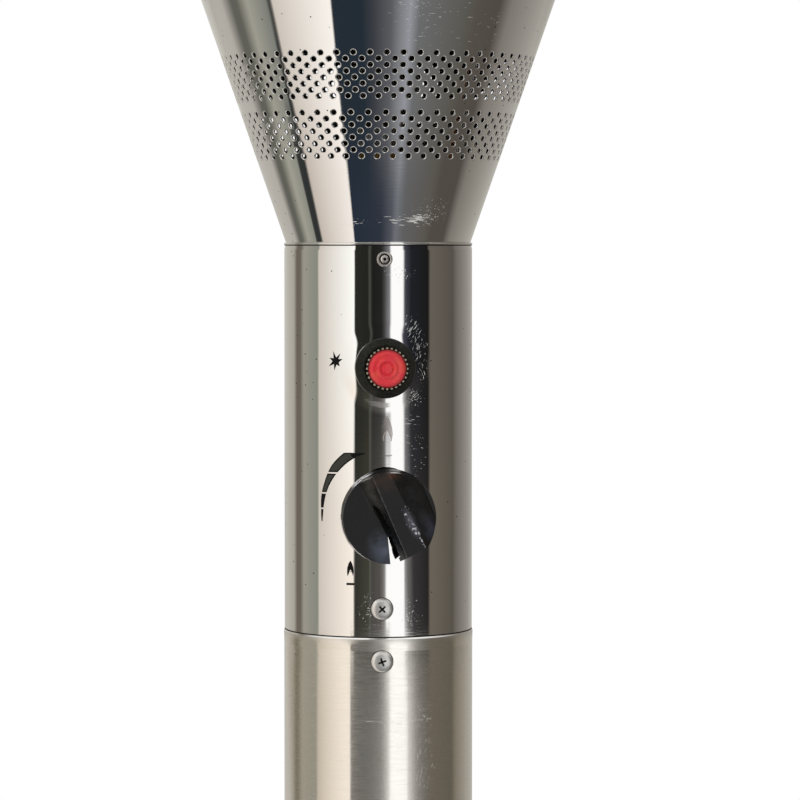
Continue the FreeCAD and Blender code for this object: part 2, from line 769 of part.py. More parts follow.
def housing_shell():
    """The rolled shell with a bead near each end and vents for gas to fall out of."""
    low = HOUSING_FOOT + HOUSING_BEAD_RISE
    high = HOUSING_TOP - HOUSING_BEAD_RISE
    radius = HOUSING_RADIUS
    bead = HOUSING_BEAD
    skin = [
        (radius, HOUSING_FOOT), (radius, low - bead * 2), (radius + bead, low), (radius, low + bead * 2),
        (radius, high - bead * 2), (radius + bead, high), (radius, high + bead * 2), (radius, HOUSING_TOP),
    ]
    shell = spin(sheet_outline(skin, HOUSING_SHEET))
    vents = []
    for height in (HOUSING_FOOT + VENT_EDGE, HOUSING_TOP - VENT_EDGE):
        for i in range(VENT_COUNT):
            vents.append(turned(vent(height), FRONT + 360.0 / VENT_COUNT * (i + 0.5)))
    rivets = [radial_rod(RIVET_HOLE, HOUSING_RADIUS - 4, HOUSING_RADIUS + 4, rivet_height(), angle)
              for angle in lid_rivet_angles()]
    return shell.cut(vents + rivets)


def vent(height):
    """A slot with round ends through the shell's wall."""
    depth = 2 * VENT_WIDTH
    start = HOUSING_RADIUS - depth / 2
    half = (VENT_LENGTH - VENT_WIDTH) / 2
    pill = block((start, -half, height - VENT_WIDTH / 2), (start + depth, half, height + VENT_WIDTH / 2))
    ends = [Part.makeCylinder(VENT_WIDTH / 2, depth, V(start, y, height), RIGHT) for y in (-half, half)]
    return joined(pill, *ends)


def rivet_height():
    """The rivets that hold the lid's skirt."""
    return HOUSING_TOP - LID_SKIRT / 2


def lid_rivet_angles():
    """Rivets evenly round the lid, clear of the front line."""
    return [FRONT + 360.0 / LID_RIVET_COUNT * (i + 0.5) for i in range(LID_RIVET_COUNT)]


def housing_lid():
    """The coned lid with a skirt outside the shell and a collar round the post."""
    skirt = HOUSING_RADIUS + FIT + HOUSING_SHEET
    skin = [
        (skirt, HOUSING_TOP - LID_SKIRT),
        (skirt, HOUSING_TOP + HOUSING_SHEET),
        (COLLAR_RADIUS, HOUSING_TOP + LID_RISE),
        (COLLAR_RADIUS, HOUSING_TOP + LID_RISE + COLLAR_HEIGHT),
    ]
    lid = spin(sheet_outline(skin, HOUSING_SHEET))
    holes = [radial_rod(RIVET_HOLE, skirt - 4, skirt + 4, rivet_height(), angle)
             for angle in lid_rivet_angles()]
    return lid.cut(holes)


def housing_bush():
    """The plastic bush in the lid's collar, which slides on the post."""
    outer = COLLAR_RADIUS - HOUSING_SHEET - FIT
    top = HOUSING_TOP + LID_RISE + COLLAR_HEIGHT
    return pipe(outer, POST_RADIUS + BUSH_ROOM, top - BUSH_HEIGHT, top)


def housing_rivets():
    """Rivets through the skirt and the shell."""
    seat = HOUSING_RADIUS + FIT + HOUSING_SHEET
    return group([blind_rivet(seat, HOUSING_RADIUS - 3 * HOUSING_SHEET, rivet_height(), angle)
                  for angle in lid_rivet_angles()])


# Post, sleeve and neck

def post_tube():
    """The long brushed post."""
    tube = spin([
        (POST_BORE, POST_FOOT), (POST_RADIUS, POST_FOOT), (POST_RADIUS, NECK_FOOT - POST_CRIMP_HEIGHT),
        (POST_RADIUS - POST_CRIMP, NECK_FOOT), (POST_BORE, NECK_FOOT),
    ])
    return tube.cut([screw_hole(NECK_FOOT - POST_SCREW_DROP, angle) for angle in THREE_FROM_FRONT])


def screw_hole(height, angle):
    """A hole through the tube and the sleeve inside it."""
    return radial_rod(SCREW_HOLE, SLEEVE_BORE - 1, POST_RADIUS + 1, height, angle)


def joining_sleeve():
    """The sleeve inside post and neck that the screws pull on."""
    sleeve = pipe(SLEEVE_RADIUS, SLEEVE_BORE, NECK_FOOT - SLEEVE_BELOW, NECK_FOOT + SLEEVE_ABOVE)
    heights = [NECK_FOOT - POST_SCREW_DROP, NECK_FOOT + NECK_SCREW_RISE]
    return sleeve.cut([screw_hole(z, angle) for z in heights for angle in THREE_FROM_FRONT])


def post_screws():
    """Three screws just under the seam."""
    return group([pan_screw(POST_RADIUS, SLEEVE_BORE - 3, NECK_FOOT - POST_SCREW_DROP, angle)
                  for angle in THREE_FROM_FRONT])


def neck_screws():
    """Three screws just above the seam."""
    return group([pan_screw(NECK_RADIUS, SLEEVE_BORE - 3, NECK_FOOT + NECK_SCREW_RISE, angle)
                  for angle in THREE_FROM_FRONT])


def neck_shell():
    """The polished tube that carries the controls, crimped in a little at its top edge."""
    shell = spin([
        (NECK_BORE, NECK_FOOT), (NECK_RADIUS, NECK_FOOT), (NECK_RADIUS, NECK_TOP - NECK_CRIMP_HEIGHT),
        (NECK_RADIUS - NECK_CRIMP, NECK_TOP), (NECK_BORE, NECK_TOP),
    ])
    front = -NECK_RADIUS - 2
    back = -NECK_RADIUS / 2
    cuts = [
        front_rod(BARREL_DIAMETER / 2 + FIT, front, back, IGNITER_Z),
        front_rod(STEM_HOLE / 2, front, back, VALVE_Z),
    ]
    cuts += [front_rod(VALVE_SCREW / 2 + FIT, front, back, VALVE_Z + side * VALVE_SCREW_OFFSET)
             for side in (-1, 1)]
    cuts += [screw_hole(NECK_FOOT + NECK_SCREW_RISE, angle) for angle in THREE_FROM_FRONT]
    cuts += [rivet_hole(angle) for angle in THREE_FROM_FRONT]
    return shell.cut(cuts)


def rivet_hole(angle):
    """A hole through the neck and the cone's spigot."""
    return radial_rod(RIVET_HOLE, SLEEVE_BORE - 1, NECK_RADIUS + 1, NECK_TOP - RIVET_DROP, angle)


def cone_rivets():
    """Three rivets that hold the cone in the neck."""
    inside = NECK_BORE - FIT - 3 * CONE_SHEET
    return group([blind_rivet(NECK_RADIUS, inside, NECK_TOP - RIVET_DROP, angle) for angle in THREE_FROM_FRONT])


def cone_shell():
    """The flaring cone: a spigot in the neck, a lip on its edge, the straight flare and the emitter's band."""
    spigot = NECK_BORE - FIT
    lip = NECK_RADIUS - NECK_CRIMP
    outline = [
        (spigot - CONE_SHEET, NECK_TOP - CONE_SPIGOT),
        (spigot, NECK_TOP - CONE_SPIGOT),
        (spigot, NECK_TOP),
        (lip, NECK_TOP),
        (lip, NECK_TOP + CONE_LIP_HEIGHT),
        (CONE_FOOT_RADIUS + CONE_LIP_HEIGHT * CONE_TANGENT, NECK_TOP + CONE_LIP_HEIGHT),
        (BAND_RADIUS, CONE_TOP),
        (BAND_RADIUS, CONE_TOP + CONE_BAND),
        (BAND_BORE, CONE_TOP + CONE_BAND),
        (BAND_BORE, CONE_TOP + CONE_SHEET * CONE_TANGENT),
        (CONE_FOOT_RADIUS - CONE_WALL_ACROSS, NECK_TOP),
        (spigot - CONE_SHEET, NECK_TOP - CONE_SHEET),
    ]
    cone = spin(outline)
    cuts = [rivet_hole(angle) for angle in THREE_FROM_FRONT]
    cuts += [emitter_screw_hole(angle) for angle in THREE_FROM_FRONT]
    return cone.cut(cuts)


def emitter_screw_hole(angle):
    """A hole through the band and the emitter."""
    return radial_rod(SCREW_HOLE, EMITTER_BORE - 2, BAND_RADIUS + 1, CONE_TOP + EMITTER_SCREW_RISE, angle)


# Gas valve and knob

PLATE_FRONT = -math.sqrt(NECK_BORE ** 2 - (PLATE_WIDTH / 2) ** 2) + FIT / 2
BONNET_FRONT = PLATE_FRONT + PLATE_THICKNESS
VALVE_FRONT = BONNET_FRONT + BONNET_THICKNESS
VALVE_REAR = VALVE_FRONT + VALVE_DEPTH
PLUG_FRONT = VALVE_FRONT + RUNNING
PLUG_REAR = PLUG_FRONT + PLUG_LENGTH
SOCKET_REAR = PLUG_REAR - PLUG_END
STEM_REAR = SOCKET_REAR - STEM_SPRING
KNOB_REAR = -NECK_RADIUS - KNOB_STAND_OFF
KNOB_FRONT = KNOB_REAR - KNOB_SKIRT


def valve_bracket():
    """A flat plate inside the neck's front wall that the valve is screwed up to."""
    plate = block((-PLATE_WIDTH / 2, PLATE_FRONT, VALVE_Z - PLATE_HEIGHT / 2),
                  (PLATE_WIDTH / 2, BONNET_FRONT, VALVE_Z + PLATE_HEIGHT / 2))
    return plate.cut([front_rod(STEM_HOLE / 2, PLATE_FRONT, BONNET_FRONT, VALVE_Z)] + valve_screw_holes(FIT))


def valve_screw_holes(room):
    """The two holes for the valve's screws, from the front wall into the valve."""
    start = -NECK_RADIUS
    return [front_rod(VALVE_SCREW / 2 + room, start, start + VALVE_SCREW_LENGTH + 1,
                      VALVE_Z + side * VALVE_SCREW_OFFSET) for side in (-1, 1)]


def valve_screws():
    """Two screws under the knob that hold the valve to the neck's wall."""
    shank = VALVE_SCREW / 2
    seat = -NECK_RADIUS
    head = VALVE_SCREW_HEAD / 2
    front = seat - VALVE_SCREW_HEAD_HEIGHT
    corner = VALVE_SCREW_HEAD_HEIGHT / 2
    outline = [(0, front), (head - corner, front), (head, front + corner), (head, seat), (shank, seat),
               (shank, seat + VALVE_SCREW_LENGTH), (0, seat + VALVE_SCREW_LENGTH)]
    return group([spin_front(outline, VALVE_Z + side * VALVE_SCREW_OFFSET) for side in (-1, 1)])


def valve_bonnet():
    """The plate that shuts the valve's front round the stem."""
    half = VALVE_WIDTH / 2
    plate = block((-half, BONNET_FRONT, VALVE_Z - VALVE_HEIGHT / 2),
                  (half, VALVE_FRONT, VALVE_Z + VALVE_HEIGHT / 2))
    return plate.cut([front_rod(STEM_RADIUS + STEM_ROOM, BONNET_FRONT, VALVE_FRONT, VALVE_Z)]
                     + valve_screw_holes(FIT))


def valve_body():
    """The brass body: a bored block with the inlet below, the burner outlet above and two ports to the right."""
    half = VALVE_WIDTH / 2
    low = VALVE_Z - VALVE_HEIGHT / 2
    high = VALVE_Z + VALVE_HEIGHT / 2
    body = block((-half, VALVE_FRONT, low), (half, VALVE_REAR, high))
    upright = [e for e in body.Edges if abs(e.Vertexes[0].X) == half and e.Vertexes[0].Y == e.Vertexes[1].Y
               and e.Vertexes[0].X == e.Vertexes[1].X and e.Vertexes[0].Y > 0]
    body = body.makeChamfer(VALVE_CORNER, upright)
    inlet = moved(hexagon(INLET_HEX, INLET_BOSS + 1), 0, INLET_BEHIND, low - INLET_BOSS)
    outlet = post_solid(RISER_DIAMETER / 2 + OUTLET_WALL, high - 1, high + OUTLET_BOSS, 0, OUTLET_BEHIND)
    ports = [Part.makeCylinder(SIDE_PORT_DIAMETER / 2, SIDE_PORT + 1, V(half - 1, y, VALVE_Z), RIGHT)
             for y in (PILOT_PORT_BEHIND, SENSOR_PORT_BEHIND)]
    body = joined(body, inlet, outlet, *ports)
    bore = front_rod(PLUG_DIAMETER / 2 + RUNNING, VALVE_FRONT, PLUG_REAR + RUNNING, VALVE_Z)
    return body.cut([bore] + valve_screw_holes(FIT))


def valve_plug():
    """The round plug that turns in the body, bored for the stem and its spring."""
    plug = front_rod(PLUG_DIAMETER / 2, PLUG_FRONT, PLUG_REAR, VALVE_Z)
    return plug.cut(front_rod(STEM_RADIUS + RUNNING, PLUG_FRONT, SOCKET_REAR, VALVE_Z))


def stem_spring():
    """The spring that pushes the stem out, shown as its outer sleeve."""
    outer = STEM_RADIUS - SPRING_ROOM
    return front_rod(outer, STEM_REAR, SOCKET_REAR, VALVE_Z).cut(
        front_rod(outer - SPRING_WIRE, STEM_REAR, SOCKET_REAR, VALVE_Z))


def valve_stem():
    """The stem with a flat on its front end for the knob."""
    front = KNOB_REAR - KNOB_SKIRT / 2
    stem = front_rod(STEM_RADIUS, front, STEM_REAR, VALVE_Z)
    flat = block((STEM_RADIUS / 2, front, VALVE_Z - STEM_RADIUS), (STEM_RADIUS, KNOB_REAR, VALVE_Z + STEM_RADIUS))
    stem = stem.cut(flat)
    stem.rotate(V(0, 0, VALVE_Z), BACK, GRIP_LEAN)
    return stem


def control_knob():
    """The knob: a tapered hollow disc, a sloping grip bar that widens downward and a notch beside the bar."""
    rear = KNOB_DIAMETER / 2
    face = KNOB_TOP_DIAMETER / 2
    hub = KNOB_HUB / 2
    top = KNOB_FRONT - GRIP_HEIGHT
    disc = spin_front([
        (0, KNOB_REAR), (hub, KNOB_REAR), (hub, KNOB_REAR - KNOB_HOLLOW), (rear - KNOB_WALL, KNOB_REAR - KNOB_HOLLOW),
        (rear - KNOB_WALL, KNOB_REAR), (rear, KNOB_REAR), (face, KNOB_FRONT + KNOB_EDGE),
        (face - KNOB_EDGE, KNOB_FRONT), (0, KNOB_FRONT),
    ], VALVE_Z)
    bar = Part.makeLoft([grip_end(0, -rear), grip_end(1, rear)], True, True)
    bar = outward(bar).common(front_rod(face - KNOB_EDGE, top, KNOB_FRONT + KNOB_EDGE, VALVE_Z))
    top_edges = [e for e in bar.Edges if all(abs(v.Y - top) < 0.01 for v in e.Vertexes)]
    bar = bar.makeChamfer(KNOB_EDGE, top_edges)
    foot = -GRIP_LEFT_FOOT[0]
    rim = rear + 1
    low = [(-NOTCH_WALL, -rim), (-foot - NOTCH_SPREAD, -rim), (-foot, -NOTCH_OPEN)]
    recess = notch_block([(-foot, NOTCH_HEAD), (-NOTCH_WALL, NOTCH_BEND)] + low, KNOB_FRONT + NOTCH_FLOOR)
    opening = notch_block([(-NOTCH_WALL, -NOTCH_OPEN)] + low, KNOB_REAR)
    knob = joined(disc, bar).cut([recess, opening])
    knob = knob.cut(front_rod(STEM_RADIUS + FIT / 2, KNOB_REAR - KNOB_SKIRT / 2, KNOB_REAR, VALVE_Z).cut(
        block((STEM_RADIUS / 2 + FIT / 2, KNOB_FRONT, VALVE_Z - rear), (rear, KNOB_REAR, VALVE_Z + rear))))
    knob.rotate(V(0, 0, VALVE_Z), BACK, GRIP_LEAN)
    return knob


def grip_end(end, along):
    """The grip bar's outline at its lower or upper end, from inside the disc to its top."""
    height = VALVE_Z + along
    root = KNOB_FRONT + KNOB_EDGE
    top = KNOB_FRONT - GRIP_HEIGHT
    return Part.makePolygon([V(x, y, height) for x, y in (
        (GRIP_LEFT_FOOT[end], root), (GRIP_RIGHT_FOOT[end], root), (GRIP_RIGHT_FOOT[end], KNOB_FRONT),
        (GRIP_RIGHT_TOP[end], top), (GRIP_LEFT_TOP[end], top), (GRIP_LEFT_FOOT[end], KNOB_FRONT),
        (GRIP_LEFT_FOOT[end], root))])


def notch_block(points, floor):
    """What the notch takes away in front of its floor, from points right of and above the knob's middle."""
    outline = closed([V(x, floor, VALVE_Z + z) for x, z in points])
    return outward(outline.extrude(V(0, KNOB_FRONT - GRIP_HEIGHT - floor - 1, 0)))


def gas_inlet_fitting():
    """The threaded fitting that the gas hose screws onto."""
    top = VALVE_Z - VALVE_HEIGHT / 2 - INLET_BOSS
    thread_top = top - INLET_HEX_HEIGHT
    body = moved(hexagon(INLET_HEX, INLET_HEX_HEIGHT), 0, INLET_BEHIND, thread_top)
    thread = post_solid(INLET_THREAD / 2, thread_top - INLET_THREAD_LENGTH, thread_top + 1, 0, INLET_BEHIND)
    bore = post_solid(INLET_BORE / 2, thread_top - INLET_THREAD_LENGTH, top, 0, INLET_BEHIND)
    return joined(body, thread).cut(bore)


def tilt_switch():
    """The tilt switch on the valve's left side, which shuts the gas off if the heater leans."""
    width, depth, height = TILT_SWITCH_SIZE
    right = -VALVE_WIDTH / 2
    case = block((right - width, -depth / 2, VALVE_Z - height / 2), (right, depth / 2, VALVE_Z + height / 2))
    left = [e for e in case.Edges if all(v.X < right - width / 2 for v in e.Vertexes)]
    return case.makeChamfer(TILT_SWITCH_CORNER, left)


# Igniter

BARREL_REAR = -NECK_RADIUS + BARREL_BEHIND
BEZEL_FRONT = -NECK_RADIUS - BEZEL_HEIGHT
MOUTH_RADIUS = BEZEL_MOUTH / 2
BUTTON_RADIUS = BUTTON_DIAMETER / 2
BUTTON_BORE = BUTTON_RADIUS + BUTTON_ROOM
RING_FRONT = BEZEL_FRONT - CAP_RING_PROUD
BUTTON_FRONT = RING_FRONT - BUTTON_PROUD
BUTTON_REAR = BUTTON_FRONT + BUTTON_LENGTH


def igniter_body():
    """The black igniter: a sloping bezel that hugs the neck, its mouth, and the barrel through the wall."""
    bezel = spin_front([
        (BARREL_DIAMETER / 2 - 1, -NECK_BORE), (BEZEL_DIAMETER / 2, -NECK_BORE),
        (BEZEL_DIAMETER / 2, -NECK_RADIUS - BEZEL_RIM), (MOUTH_RADIUS + 0.7, BEZEL_FRONT),
        (BARREL_DIAMETER / 2 - 1, BEZEL_FRONT),
    ], IGNITER_Z)
    bezel = bezel.cut(post_solid(NECK_RADIUS, IGNITER_Z - BEZEL_DIAMETER, IGNITER_Z + BEZEL_DIAMETER))
    barrel = front_rod(BARREL_DIAMETER / 2, BEZEL_FRONT + 1, BARREL_REAR, IGNITER_Z)
    body = joined(bezel, barrel)
    ring_seat = front_rod(CAP_RING_DIAMETER / 2 + FIT, BEZEL_FRONT, RING_FRONT + CAP_RING_HEIGHT, IGNITER_Z)
    bore = front_rod(BUTTON_BORE, BEZEL_FRONT, BUTTON_REAR + IGNITER_SPRING, IGNITER_Z)
    return body.cut([ring_seat, bore])


def igniter_nut():
    """The nut that pulls the bezel against the neck from inside."""
    inner_wall = math.sqrt(NECK_BORE ** 2 - (NUT_ACROSS_FLATS / 2) ** 2)
    nut = hex_nut(NUT_ACROSS_FLATS, NUT_THICKNESS, BARREL_DIAMETER / 2 + RUNNING)
    nut.rotate(ORIGIN, UP, 30)
    nut.rotate(ORIGIN, RIGHT, -90)
    return moved(nut, 0, -inner_wall + FIT, IGNITER_Z)


def igniter_cap_ring():
    """The toothed ring round the button."""
    tip = CAP_RING_DIAMETER / 2
    root = tip - CAP_RING_TOOTH
    points = []
    for i in range(CAP_RING_TEETH):
        for share, r in ((0.0, tip), (0.4, tip), (0.5, root), (0.9, root)):
            turn = 2 * math.pi * (i + share) / CAP_RING_TEETH
            points.append(V(r * math.cos(turn), RING_FRONT, IGNITER_Z + r * math.sin(turn)))
    ring = outward(closed(points).extrude(V(0, CAP_RING_HEIGHT - FIT, 0)))
    return ring.cut(front_rod(BUTTON_BORE, RING_FRONT, RING_FRONT + CAP_RING_HEIGHT, IGNITER_Z))


def igniter_button():
    """The red button, crowned, with a raised ring in its middle."""
    crown = BUTTON_FRONT + BUTTON_CROWN
    ring = BUTTON_RING_RADIUS
    relief = BUTTON_RING_RELIEF
    return spin_front([
        (0, BUTTON_REAR), (BUTTON_RADIUS, BUTTON_REAR), (BUTTON_RADIUS, crown),
        (BUTTON_RADIUS - BUTTON_EDGE, BUTTON_FRONT), (ring + BUTTON_RING_WIDTH, BUTTON_FRONT - relief),
        (ring + BUTTON_RING_WIDTH / 2, BUTTON_FRONT + relief), (ring, BUTTON_FRONT - relief),
        (0, BUTTON_FRONT - relief),
    ], IGNITER_Z)


def igniter_spring():
    """The spring behind the button, shown as its outer sleeve."""
    rear = BUTTON_REAR + IGNITER_SPRING
    outer = BUTTON_RADIUS - IGNITER_SPRING_ROOM
    return front_rod(outer, BUTTON_REAR, rear, IGNITER_Z).cut(
        front_rod(outer - IGNITER_SPRING_WIRE, BUTTON_REAR, rear, IGNITER_Z))


# Burner and what feeds it

BURNER_FOOT = NECK_TOP + INJECTOR_RISE


def gas_riser():
    """The pipe from the valve, behind the igniter and in to the middle, to the injector."""
    start = VALVE_Z + VALVE_HEIGHT / 2 + OUTLET_BOSS
    bend_low = IGNITER_Z + BARREL_DIAMETER
    bend_high = bend_low + OUTLET_BEHIND + 8.0
    return bent_rod([(0, OUTLET_BEHIND, start), (0, OUTLET_BEHIND, bend_low), (0, 0, bend_high),
                     (0, 0, BURNER_FOOT)], RISER_DIAMETER / 2)


def gas_injector():
    """The brass injector on the riser's end, in the burner's collar."""
    hexed = moved(hexagon(INJECTOR_HEX, INJECTOR_HEIGHT / 2), 0, 0, BURNER_FOOT)
    tip = post_solid(INJECTOR_TIP / 2, BURNER_FOOT, BURNER_FOOT + INJECTOR_HEIGHT)
    return joined(hexed, tip)


def burner_tube():
    """The mixing tube: a collar on the injector, an open mouth for air, a throat and a flare to the plate."""
    collar_foot = BURNER_FOOT + INJECTOR_HEIGHT / 2
    collar_top = collar_foot + BURNER_COLLAR
    mouth = collar_top + BURNER_MOUTH_RISE
    throat = mouth + BURNER_THROAT_RISE
    skin = [
        (BURNER_COLLAR_RADIUS, collar_top), (BURNER_MOUTH, mouth), (BURNER_THROAT, throat),
        (BURNER_TOP_RADIUS, CONE_TOP), (BURNER_TOP_RADIUS, EMITTER_FOOT),
        (BURNER_TOP_RADIUS + BURNER_FLANGE, EMITTER_FOOT),
    ]
    wall = spin(sheet_outline(skin, BURNER_WALL))
    collar = pipe(BURNER_COLLAR_RADIUS, INJECTOR_TIP / 2 + FIT, collar_foot, collar_top + BURNER_WALL)
    windows = [turned(block((BURNER_COLLAR_RADIUS + 1, -AIR_WINDOW / 2, collar_top + BURNER_WALL),
                            (BURNER_MOUTH + 2, AIR_WINDOW / 2, mouth)), angle) for angle in THREE_FROM_REAR]
    return joined(wall, collar).cut(windows)


def burner_plate():
    """The plate across the cone's top that carries the burner, the pilot bracket and the emitter."""
    plate = post_solid(EMITTER_RADIUS, CONE_TOP, EMITTER_FOOT)
    holes = [post_solid(BURNER_TOP_RADIUS + FIT, CONE_TOP, EMITTER_FOOT)]
    holes += [post_solid(radius + FIT, CONE_TOP, EMITTER_FOOT, x, y) for radius, x, y in pilot_group()]
    return plate.cut(holes)


def pilot_group():
    """Radius and place of the pilot tube, the sensor and the spark rod's ceramic."""
    return [(PILOT_TUBE / 2, PILOT_REACH, PILOT_SIDE), (SENSOR_TIP / 2, PILOT_REACH, SENSOR_SIDE),
            (CERAMIC / 2, SPARK_REACH, SPARK_SIDE)]


def burner_head():
    """The drum that spreads the flame, slotted round its wall, with a coned top."""
    foot = EMITTER_FOOT
    top = foot + HEAD_HEIGHT
    skin = [(HEAD_RADIUS, foot), (HEAD_RADIUS, top), (0, top + HEAD_CROWN)]
    inner = beside(skin, BURNER_WALL)
    inner[-1] = (0, top + HEAD_CROWN - BURNER_WALL)
    drum = spin(skin + inner[::-1])
    slot = block((HEAD_RADIUS - 2 * BURNER_WALL, -HEAD_SLOT / 2, foot + HEAD_SLOT_FOOT),
                 (HEAD_RADIUS + 1, HEAD_SLOT / 2, top - HEAD_SLOT_TOP))
    return drum.cut([turned(slot, 360.0 / HEAD_SLOTS * (i + 0.5)) for i in range(HEAD_SLOTS)])


def pilot_bracket():
    """The plate that holds pilot, sensor and spark rod together."""
    depth, width, thick = PILOT_BRACKET
    middle = (PILOT_REACH + SPARK_REACH) / 2
    low = EMITTER_FOOT
    plate = block((middle - depth / 2, -width / 2, low), (middle + depth / 2, width / 2, low + thick))
    return plate.cut([post_solid(radius + FIT, low, low + thick, x, y) for radius, x, y in pilot_group()])


def lead_route(port, side, lift):
    """A route from a port on the valve's right side, up beside the igniter and out to the pilot bracket."""
    start = VALVE_WIDTH / 2 + SIDE_PORT
    low = NECK_TOP + LEAD_CLEAR
    high = CONE_TOP - LEAD_CLEAR
    return [(start, port, VALVE_Z), (LEAD_REACH, port, VALVE_Z), (LEAD_REACH, port, low),
            (PILOT_REACH, side, high), (PILOT_REACH, side, lift)]


def pilot_tube():
    """The thin gas pipe to the pilot."""
    return bent_rod(lead_route(PILOT_PORT_BEHIND, PILOT_SIDE, EMITTER_FOOT + PILOT_BRACKET[2]), PILOT_TUBE / 2)


def pilot_burner():
    """The pilot's hood on the bracket, with a side window that faces the sensor."""
    low = EMITTER_FOOT + PILOT_BRACKET[2]
    top = low + PILOT_HEIGHT
    hood = pipe(PILOT_HOOD / 2, PILOT_HOOD / 2 - PILOT_WALL, low, top, PILOT_REACH, PILOT_SIDE)
    cap = post_solid(PILOT_HOOD / 2, top - PILOT_WALL, top, PILOT_REACH, PILOT_SIDE)
    half = PILOT_WINDOW / 2
    window = block((PILOT_REACH - half, PILOT_SIDE, low + PILOT_HEIGHT / 3),
                   (PILOT_REACH + half, PILOT_SIDE + PILOT_HOOD, low + PILOT_HEIGHT * 3 / 4))
    return joined(hood, cap).cut(window)


def thermocouple():
    """The flame sensor: its lead from the valve and the thicker tip beside the pilot."""
    route = lead_route(SENSOR_PORT_BEHIND, SENSOR_SIDE, CONE_TOP - SENSOR_ROOT / 2)
    lead = bent_rod(route, SENSOR_LEAD / 2)
    tip = post_solid(SENSOR_TIP / 2, CONE_TOP - SENSOR_ROOT, EMITTER_FOOT + SENSOR_HEIGHT, PILOT_REACH, SENSOR_SIDE)
    return joined(lead, tip)


def spark_electrode():
    """The ceramic rod with its wire, which leans over to the pilot."""
    low = CONE_TOP - CERAMIC_BELOW
    top = EMITTER_FOOT + CERAMIC_HEIGHT
    ceramic = post_solid(CERAMIC / 2, low, top, SPARK_REACH, SPARK_SIDE)
    wire = bent_rod([(SPARK_REACH, SPARK_SIDE, top - 1), (SPARK_REACH, SPARK_SIDE, top + 6),
                     (PILOT_REACH + 4, PILOT_SIDE + 7, top + 6)], SPARK_WIRE / 2)
    return joined(ceramic, wire)


def igniter_lead():
    """The insulated lead from the igniter's rear to the spark rod."""
    side = LEAD_BESIDE
    behind = BARREL_REAR + LEAD_BEHIND
    foot = CONE_TOP - CERAMIC_BELOW
    return bent_rod([(0, BARREL_REAR, IGNITER_Z), (0, behind, IGNITER_Z), (side, behind, IGNITER_Z + LEAD_RISE),
                     (side, behind, NECK_TOP + LEAD_CLEAR), (SPARK_REACH, SPARK_SIDE, foot - LEAD_CLEAR),
                     (SPARK_REACH, SPARK_SIDE, foot)], SPARK_LEAD / 2)


# Emitter and reflector

def emitter_screen():
    """The emitter's cylinder, which stands on the burner plate inside the cone's band."""
    screen = pipe(EMITTER_RADIUS, EMITTER_BORE, EMITTER_FOOT, EMITTER_TOP)
    return screen.cut([emitter_screw_hole(angle) for angle in THREE_FROM_FRONT])


def emitter_screws():
    """Screws through the band into the emitter."""
    return group([pan_screw(BAND_RADIUS, EMITTER_BORE - 2, CONE_TOP + EMITTER_SCREW_RISE, angle)
                  for angle in THREE_FROM_FRONT])


def stud_places():
    """The three studs on their circle."""
    return [(STUD_CIRCLE / 2 * math.cos(math.radians(a)), STUD_CIRCLE / 2 * math.sin(math.radians(a)))
            for a in THREE_FROM_REAR]


def stud_holes(low, high):
    """Holes for the studs."""
    return [post_solid(STUD_DIAMETER / 2 + FIT, low, high, x, y) for x, y in stud_places()]


def emitter_cap():
    """The flat cap on the emitter, with a rim outside it."""
    rim = EMITTER_RADIUS + CAP_ROOM + EMITTER_SHEET
    skin = [(rim, EMITTER_TOP - CAP_RIM), (rim, CAP_TOP), (0, CAP_TOP)]
    cap = spin(sheet_outline(skin, EMITTER_SHEET))
    return cap.cut(stud_holes(EMITTER_TOP - 1, CAP_TOP + 1))


def reflector_studs():
    """Threaded studs with a head inside the cap, which carry the reflector."""
    solids = []
    for x, y in stud_places():
        head = moved(hexagon(STUD_HEAD_FLATS, STUD_HEAD), x, y, EMITTER_TOP - STUD_HEAD)
        shank = post_solid(STUD_DIAMETER / 2, EMITTER_TOP - STUD_INSIDE, REFLECTOR_TOP + STUD_ABOVE, x, y)
        solids.append(joined(head, shank))
    return group(solids)


def stud_spacers():
    """Tubes that hold the reflector above the cap."""
    return group([pipe(SPACER_DIAMETER / 2, STUD_DIAMETER / 2 + FIT, CAP_TOP, REFLECTOR_UNDER, x, y)
                  for x, y in stud_places()])


def reflector():
    """The spun dome: a flat middle, rings along an arc that leaves it level, and a turned-down lip."""
    flat = REFLECTOR_FLAT / 2
    reach = REFLECTOR_DIAMETER / 2 - flat
    radius = (reach ** 2 + REFLECTOR_DROP ** 2) / (2 * REFLECTOR_DROP)
    turns = [math.asin(reach / radius) * i / REFLECTOR_RINGS for i in range(REFLECTOR_RINGS + 1)]
    arc = [(flat + radius * math.sin(turn), REFLECTOR_TOP - radius * (1 - math.cos(turn))) for turn in turns]
    rim, edge = arc[-1]
    skin = [(rim, edge - REFLECTOR_LIP)] + arc[::-1] + [(0, REFLECTOR_TOP)]
    dome = spin(sheet_outline(skin, REFLECTOR_SHEET))
    return dome.cut(stud_holes(REFLECTOR_UNDER - 1, REFLECTOR_TOP + 1))


def wing_nuts():
    """Wing nuts on the studs, with their washers."""
    solids = []
    for x, y in stud_places():
        low = REFLECTOR_TOP + WASHER_THICKNESS
        solids.append(pipe(WASHER_DIAMETER / 2, STUD_DIAMETER / 2 + FIT, REFLECTOR_TOP, low, x, y))
        nut = post_solid(WING_NUT_DIAMETER / 2, low, low + WING_NUT_HEIGHT, x, y)
        wings = [wing(side, x, y, low) for side in (-1, 1)]
        nut = joined(nut, *wings)
        solids.append(nut.cut(post_solid(STUD_DIAMETER / 2 + RUNNING, low, low + WING_HEIGHT, x, y)))
    return group(solids)


